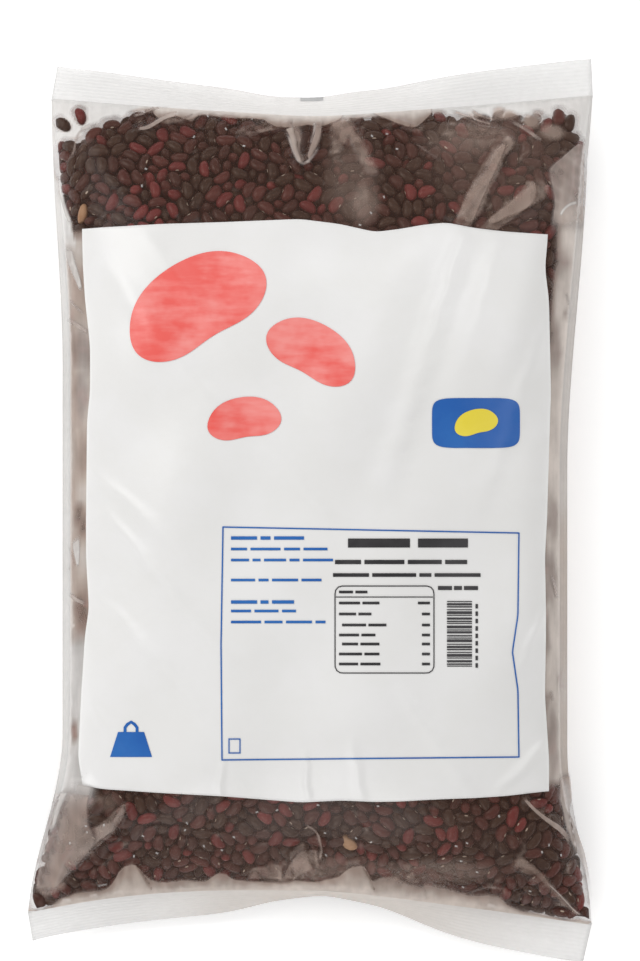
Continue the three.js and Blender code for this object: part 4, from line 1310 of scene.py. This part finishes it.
class Folds:
    """Sheets of folded film over the face, and short pale ribbons that paint highlights. Places are given as
    the camera sees them, in pixels.
    """

    def __init__(self):
        self.points, self.faces, self.haze, self.pale, self.clears, self.count = [], [], [], [], [], 0

    def sheet(self, x, y, haze, pale, rise=0.5, clears=0.24):
        rows, columns = x.shape
        lift = 0.16 + 0.004 * len(self.points) + rise * clamp(haze)
        flip = ((x[0, -1] - x[0, 0]) * (y[-1, 0] - y[0, 0]) - (y[0, -1] - y[0, 0]) * (x[-1, 0] - x[0, 0])) > 0
        spots = seen_at(x, y)
        fall = np.maximum(*(np.abs(slope) for slope in np.gradient(spots[..., 2])))
        haze = haze * smooth((9 - fall) / 4)  # nothing stands out where the flank drops steeply
        spots[..., 2] += lift
        self.points.append(spots.reshape(-1, 3))
        self.faces.append(grid_faces(rows, columns, self.count, flip=flip))
        self.haze.append(haze.ravel())
        self.pale.append(np.broadcast_to(pale, haze.shape).ravel())
        self.clears.append(np.full(haze.size, clears))
        self.count += rows * columns

    def between(self, first, second, milk, pale, soft, ends):
        length = np.hypot(*np.diff(np.array(first, float), axis=0).T).sum()
        width = np.hypot(*(np.array(first, float) - second).T).max()
        rows, columns = max(10, int(length / 1.5)), int(np.clip(width / 0.7, 7, 27))
        v, u = np.meshgrid(np.linspace(0, 1, columns), np.linspace(0, 1, rows))
        a, b = curve(first, rows)[:, None], curve(second, rows)[:, None]
        spot = mix(a, b, v[..., None])
        profile = fade(v, soft[0]) * fade(1 - v, soft[1]) * fade(u, ends[0]) * fade(1 - u, ends[1])
        self.sheet(spot[..., 0], spot[..., 1], milk * profile, pale)

    def ribbon(self, places, start, stop, milk, pale):
        length = np.hypot(*np.diff(np.array(places, float), axis=0).T).sum()
        line = curve(places, max(12, int(length)))
        slope = np.gradient(line, axis=0)
        slope = slope / np.hypot(*slope.T)[:, None]
        v, u = np.meshgrid(np.linspace(-1, 1, 7), np.linspace(0, 1, len(line)))
        reach = 1.5 * mix(start, stop, u) * v
        profile = (1 - v * v) * np.minimum(1, 1.6 * fade(u, 0.25) * fade(1 - u, 0.25))
        x, y = line[:, :1] - slope[:, 1:] * reach, line[:, 1:] + slope[:, :1] * reach
        self.sheet(x, y, milk * profile, pale, 0.4)

    def band(self, end, edge, milk, pale, soft):
        """A milky band between a seal and a scalloped edge: milk and paleness are given at the seal and at
        the edge, and how far the edge fades, in pixels, at places from left to right."""
        across = np.linspace(-1, 1, 400)
        seal_y, seal_z = seal_line(end, across)
        seal = pixels(across * half_width(seal_y, across), seal_y, seal_z)
        line = curve(edge, 600)
        columns = int((edge[-1][0] - edge[0][0]) / 1.2)
        x, v = np.meshgrid(np.linspace(edge[0][0], edge[-1][0], columns), np.linspace(0, 1, 22))
        near, far = np.interp(x, *seal), np.interp(x, *line.T)
        u = (x - x[0, 0]) / (x[0, -1] - x[0, 0])
        ends = fade(u, 0.04) * fade(1 - u, 0.04)
        slant = x + 9 * v * np.sin(x / 23)
        gathers = 1 - 0.16 * v * (0.5 + 0.5 * np.sin(slant / 2.3 + 2.2 * np.sin(slant / 9.1) + 1.5 * v))
        fades = np.interp(x, *soft)
        inner = (1 - v) * np.abs(far - near) / fades
        faint = milk[1] * mix(1, 0.74, smooth((fades - 4) / 8))
        haze = mix(milk[0], faint, smooth(v / 0.9)) * smooth(inner) * gathers * ends
        self.sheet(x, mix(near, far, v), haze, mix(pale[0], pale[1], smooth(v / 0.9)), 0.35, 0.06)

    def finish(self, name, material):
        """The sheets clear a little where a bean lies close beneath them."""
        points, haze = np.concatenate(self.points), np.concatenate(self.haze)
        haze = haze * (1 - np.concatenate(self.clears) * (1 - smooth((stand_off(points) - 0.4) / 2.6)))
        x, y, _ = points.T
        mottle = np.sin(x / 2.9 + 1.7 * np.sin(y / 4.3)) * np.sin(y / 3.7 + 1.3 * np.sin(x / 5.1))
        haze = haze * (0.93 + 0.07 * mottle)
        milk = {"haze": haze, "pale": np.concatenate(self.pale)}
        return belongs(build(name, points, np.concatenate(self.faces), material, milk))


def film_folds_and_glints():
    folds = Folds()
    for edge in TOP_BANDS:
        folds.band(TOP, edge, (0.86, 0.56), (0.35, 0.0), ([150, 230, 262, 400], [3, 5, 3, 3]))
    for edge in BOTTOM_BANDS:
        folds.band(BOTTOM, edge, (0.86, 0.66), (0.1, 0.0), BOTTOM_SOFTNESS)
    for entry in SHEETS:
        folds.between(*entry)
    for entry in CREASES_AND_HIGHLIGHTS:
        folds.ribbon(*entry)
    # painted highlights: each glint is a short ribbon of very pale film
    for x, y, lean in PAINTED_GLINTS:
        run, fall = 1.6 * math.cos(lean), 1.6 * math.sin(lean)
        folds.ribbon([(x - run, y - fall), (x, y), (x + run, y + fall)], 0.8, 0.7, 0.62, 0.9)
    return folds.finish("film_folds_and_glints", film.data.materials[0])


film_folds_and_glints()


def core():
    """The beans further in, as one dark uneven body that shows only in the gaps."""
    places, along = np.linspace(-1, 1, 80), np.linspace(0.009, 0.991, 120)
    across, share = np.meshgrid(places, along)
    across = across * (filled_limit(share) - 0.02)
    bottom_y, top_y = seal_line(BOTTOM, across)[0], seal_line(TOP, across)[0]
    y = mix(bottom_y, top_y, share)
    x = across * half_width(y, across)
    px, py = pixels(x, y, 20)
    y = y - PHOTO_SCALE * np.maximum(0, np.interp(px, *np.array(BEANS_TOP).T) + 6 - py)
    _, face, back = levels(x, y, ridges=False)
    middle = (face + back) / 2
    rough = 1.2 * np.sin(x / 2.3) * np.sin(y / 2.9)
    thin = np.clip((face - back) / 2 - 0.3, 0.02, 0.4)
    top = np.maximum(middle + thin, face - SHELL + 1 + rough)
    bottom = np.minimum(middle - thin, back + SHELL - 1 - rough)
    points = np.concatenate([np.stack([x, y, h], -1).reshape(-1, 3) for h in (top, bottom)])
    material, nodes, shader, place = new_material("deep_beans")
    share = nodes.noise(place, 150.0, 3.0)
    tint = nodes.blend(nodes.ramp(share, 0.35, 0.65), colour(44, 27, 23), colour(70, 41, 35))
    nodes.fill(shader, {"Base Color": tint, "Roughness": 0.6, "Normal": nodes.bump(share, 0.8, 0.004)})
    return belongs(build("beans_inside", points, skin_faces(*across.shape), material))


core()

# The printed panel and its print
PANEL_LIFTS = 0.2, 0.06  # its top and its underside, above the film
INK_LIFT, TOP_INK_LIFT = 0.5, 0.68
white_ink = ink_material("white_print", colour(232, 231, 229), colour(235, 234, 233))


def panel():
    u, v = np.meshgrid(np.linspace(0, 1, 186), np.linspace(1, 0, 220))
    x, y = panel_spot(u, v)
    points = np.concatenate([seen_at(x, y, lift).reshape(-1, 3) for lift in PANEL_LIFTS])
    uv = np.tile(np.stack([u, 1 - v], -1).reshape(-1, 2), (2, 1))
    return belongs(build("white_panel", points, skin_faces(*u.shape), white_ink, uv=uv))


panel()


class Print:
    """Flat shapes of one ink that lie on the panel. Places are given as the camera sees them, in pixels."""

    def __init__(self, lift):
        self.lift, self.points, self.faces, self.count = lift, [], [], 0

    def patch(self, x, y):
        """A grid of places with rows that run down the picture."""
        rows, columns = x.shape
        self.points.append(seen_at(x, y, self.lift).reshape(-1, 3))
        self.faces.append(grid_faces(rows, columns, self.count, flip=True))
        self.count += rows * columns

    def bar(self, x0, y0, x1, y1):
        across = max(2, int(abs(x1 - x0) / 4) + 2)
        down = max(2, int(abs(y1 - y0) / 4) + 2)
        self.patch(*np.meshgrid(np.linspace(x0, x1, across), np.linspace(y0, y1, down)))

    def wedge(self, left0, right0, y0, left1, right1, y1):
        """A bar that widens from its top to its bottom."""
        u, v = np.meshgrid(np.linspace(0, 1, 12), np.linspace(0, 1, 8))
        self.patch(mix(mix(left0, left1, v), mix(right0, right1, v), u), mix(y0, y1, v))

    def line(self, places, width):
        """A line of even width through a row of places."""
        places = np.array(places, float)
        step = np.concatenate([[0], np.cumsum(np.hypot(*np.diff(places, axis=0).T))])
        at = np.linspace(0, step[-1], max(2, int(step[-1] / 4) + 1))
        x, y = np.interp(at, step, places[:, 0]), np.interp(at, step, places[:, 1])
        slope = np.stack([np.gradient(x), np.gradient(y)])
        slope = slope / np.hypot(*slope) * width / 2
        self.patch(np.stack([x + slope[1], x - slope[1]], 1), np.stack([y - slope[0], y + slope[0]], 1))

    def frame(self, x0, y0, x1, y1, width):
        for a, b, c, d in ((x0, y0, x1, y0), (x0, y1, x1, y1)):
            self.bar(a - width / 2, b - width / 2, c + width / 2, d + width / 2)
        for x in (x0, x1):
            self.bar(x - width / 2, y0 + width / 2, x + width / 2, y1 - width / 2)

    def blob(self, cx, cy, outline, around=64):
        """A filled round shape: outline(turn) gives its reach from the middle in x and y."""
        turn = np.linspace(0, 2 * np.pi, around + 1)
        reach_x, reach_y = outline(turn)
        share = np.linspace(0.004, 1, 9)[:, None]
        self.patch(cx + reach_x[None] * share, cy + reach_y[None] * share)

    def finish(self, name, material):
        points, faces = np.concatenate(self.points), np.concatenate(self.faces)
        return belongs(build(name, points, faces, material))


def bean_outline(length, lean, dent=0.26):
    """A kidney bean seen from its side."""
    def outline(turn):
        reach = 1 - dent * np.exp(-((turn - np.pi / 2) / 0.55) ** 2)
        x = length * 0.5 * np.cos(turn) * (1 + 0.04 * np.sin(3 * turn))
        y = length * 0.31 * np.sin(turn) * reach
        return x * math.cos(lean) - y * math.sin(lean), x * math.sin(lean) + y * math.cos(lean)
    return outline


def words(ink, x, y, lengths, tall, gap):
    """A line of print, shown as plain bars for its words."""
    for length in lengths:
        ink.bar(x, y - tall / 2, x + length, y + tall / 2)
        x += length + gap


def rounded(x0, y0, x1, y1, r):
    """The outline of a box with round corners."""
    corner = np.linspace(0, np.pi / 2, 7)
    path = []
    for number, (x, y) in enumerate(((x1 - r, y0 + r), (x1 - r, y1 - r), (x0 + r, y1 - r), (x0 + r, y0 + r))):
        turn = number * np.pi / 2 + corner
        path += list(zip(x + r * np.sin(turn), y - r * np.cos(turn)))
    return path + [path[0]]


# The blue print: the big frame's lines, rows of words, the weight with its ring, a small box and the badge.
# A row of words: its left end, its place down the picture, the words' lengths, how tall they are and the gap.
BLUE_FRAME = [
    [(223, 527), (519, 533)], [(222, 760), (519, 757)], [(223, 526.5), (221, 645), (222, 760.5)],
    [(519, 532.5), (518, 615), (512.5, 652), (518, 690), (519, 757.5)],
]
BLUE_ROWS = [
    (231, 538, (26, 10, 30), 3.4, 3.5), (231, 549, (16, 30, 16, 24), 2.6, 3.5),
    (231, 560, (18, 8, 22, 10, 30), 2.6, 3.5), (231, 580, (24, 10, 26, 20), 2.6, 3.5),
    (231, 602, (26, 8, 22), 3.4, 3.5), (231, 611, (20, 24, 14), 2.6, 3.5),
    (231, 622, (30, 18, 26, 10), 2.6, 3.5),
]
WEIGHT = (118, 144, 732, 110, 152, 757)
WEIGHT_RING = [(125, 732), (125, 726), (131, 722), (137, 726), (137, 732)]
SMALL_BOX = (229, 739, 240, 753)
BADGE, BADGE_REACH = (476, 423), (44, 25)
# Bean shapes: middle, length, lean and points around.
YELLOW_BEAN = (476, 423, 44, -0.25, 64)
RED_BEANS = [(196, 306, 150, -0.55, 96), (312, 352, 96, 0.5, 80), (244, 420, 74, -0.15, 72)]
# The black print: rows of words, the table, and the bars beside it with a row of marks.
BLACK_ROWS = [
    (348, 543, (62, 50), 9, 8), (335, 562, (26, 40, 34, 22), 4.2, 3.4),
    (333, 575, (36, 44, 12, 46), 3.6, 3.2), (438, 588, (14, 8, 14), 4, 2),
]
TABLE, TABLE_CORNER, TABLE_RULE = (335, 586, 434, 673), 7, (336, 596.5, 433, 597.5)
TABLE_ROWS, TABLE_WORDS, TABLE_FIGURES = (592, 603, 614, 625, 635, 644, 654, 664), 339, (422, 430)
CODE_LEFT, CODE_RIGHT, CODE_TOP, CODE_BARS = 447, 472, 601.0, 24
BAR_TALLS, BAR_GAPS = (1.0, 2.2, 1.4, 1.0, 2.8), (1.1, 0.8, 1.6)
MARKS, MARKS_LEFT, MARKS_RIGHT, MARKS_TOP, MARKS_STEP, MARK_TALL = 9, 475.5, 478, 604, 7.4, 4.5


def squared(reach):
    """A round box: between a circle and a square."""
    return lambda turn: [
        size * np.sign(way(turn)) * np.abs(way(turn)) ** 0.35 for size, way in zip(reach, (np.cos, np.sin))
    ]


def blue_print():
    ink = Print(INK_LIFT)
    for places in BLUE_FRAME:
        ink.line(places, 1.4)
    for row in BLUE_ROWS:
        words(ink, *row)
    ink.wedge(*WEIGHT)
    ink.line(WEIGHT_RING, 3.0)
    ink.frame(*SMALL_BOX, 1.2)
    ink.blob(*BADGE, squared(BADGE_REACH), around=96)
    return ink.finish("print_blue", ink_material("blue_ink", colour(24, 92, 172), colour(38, 106, 182)))


def bean_print(name, lift, beans, material):
    ink = Print(lift)
    for x, y, length, lean, around in beans:
        ink.blob(x, y, bean_outline(length, lean), around)
    return ink.finish(name, material)


def black_print():
    ink = Print(INK_LIFT)
    for row in BLACK_ROWS:
        words(ink, *row)
    ink.line(rounded(*TABLE, TABLE_CORNER), 1.1)
    ink.bar(*TABLE_RULE)
    for number, y in enumerate(TABLE_ROWS):
        lengths = 14 + (number * 7) % 11, 12 + (number * 5) % 9
        words(ink, TABLE_WORDS + 3 * (number in (3, 5)), y, lengths, 2.6, 2.4)
        if number:
            ink.bar(TABLE_FIGURES[0] - 4 * (number == 1), y - 1.3, TABLE_FIGURES[1], y + 1.3)
    y = CODE_TOP
    for number in range(CODE_BARS):
        tall = BAR_TALLS[number % len(BAR_TALLS)]
        ink.bar(CODE_LEFT, y, CODE_RIGHT, y + tall)
        y += tall + BAR_GAPS[number % len(BAR_GAPS)]
    for number in range(MARKS):
        y = MARKS_TOP + number * MARKS_STEP
        ink.bar(MARKS_LEFT, y, MARKS_RIGHT, y + MARK_TALL)
    return ink.finish("print_black", ink_material("black_ink", colour(38, 36, 38), colour(62, 60, 62)))


blue_print()
yellow_ink = ink_material("yellow_ink", colour(232, 212, 60), colour(240, 222, 84))
bean_print("print_yellow", TOP_INK_LIFT, [YELLOW_BEAN], yellow_ink)
red_ink = ink_material("red_ink", colour(238, 96, 88), colour(246, 148, 142), 1.6)
bean_print("print_red", INK_LIFT, RED_BEANS, red_ink)
black_print()

# Floor, light and camera
FLOOR_HALF, FLOOR_LEVEL = 3000, -0.2
WHITE_AROUND = 0.42  # how bright the room is
# Area lights that face the bag: name, place and size in metres, and power.
LIGHTS = [
    ("key", (-1.3, 0.95, 1.35), 1.2, 19), ("fill", (1.3, 0.5, 1.2), 1.0, 6),
    ("low", (-0.3, -1.6, 1.0), 0.9, 8.5), ("spark", (0.25, 1.0, 1.7), 0.18, 3),
]


def studio():
    material, nodes, shader, place = new_material("pale_floor")
    tint = nodes.blend(nodes.noise(place, 3.0), colour(250, 250, 250), colour(253, 253, 252))
    glow = {"Emission Color": (1, 1, 1, 1), "Emission Strength": 0.35}
    nodes.fill(shader, {"Base Color": tint, "Roughness": 0.7, **glow})
    signs = (-1, -1), (1, -1), (1, 1), (-1, 1)
    corners = np.array([(x * FLOOR_HALF, y * FLOOR_HALF, FLOOR_LEVEL) for x, y in signs])
    floor = build("floor", corners + [*BOX_CENTRE, 0], [(0, 1, 2, 3)], material)

    world = bpy.data.worlds.new("studio")
    bpy.context.scene.world = world
    world.use_nodes = True
    sky = world.node_tree.nodes["Background"].inputs
    sky[0].default_value, sky[1].default_value = (1.0, 1.0, 1.0, 1.0), WHITE_AROUND
    for name, spot, size, power in LIGHTS:
        lamp = bpy.data.lights.new(name, "AREA")
        lamp.size = size
        lamp.energy = power
        holder = bpy.data.objects.new(name, lamp)
        holder.location = spot
        holder.rotation_euler = (-Vector(spot)).to_track_quat("-Z", "Y").to_euler()
        bpy.context.scene.collection.objects.link(holder)


def camera():
    lens = bpy.data.cameras.new("camera")
    lens.sensor_width = 36
    lens.lens = 36 * CAMERA_DISTANCE / (PHOTO_SIZE[1] * PHOTO_SCALE)
    holder = bpy.data.objects.new("camera", lens)
    spot = (camera_spot - BOX_CENTRE) * MM
    holder.location = (spot[0], spot[1], (CAMERA_DISTANCE + PHOTO_LEVEL) * MM)
    bpy.context.scene.collection.objects.link(holder)
    bpy.context.scene.camera = holder


studio()
camera()
bpy.context.scene.view_settings.view_transform = "Standard"
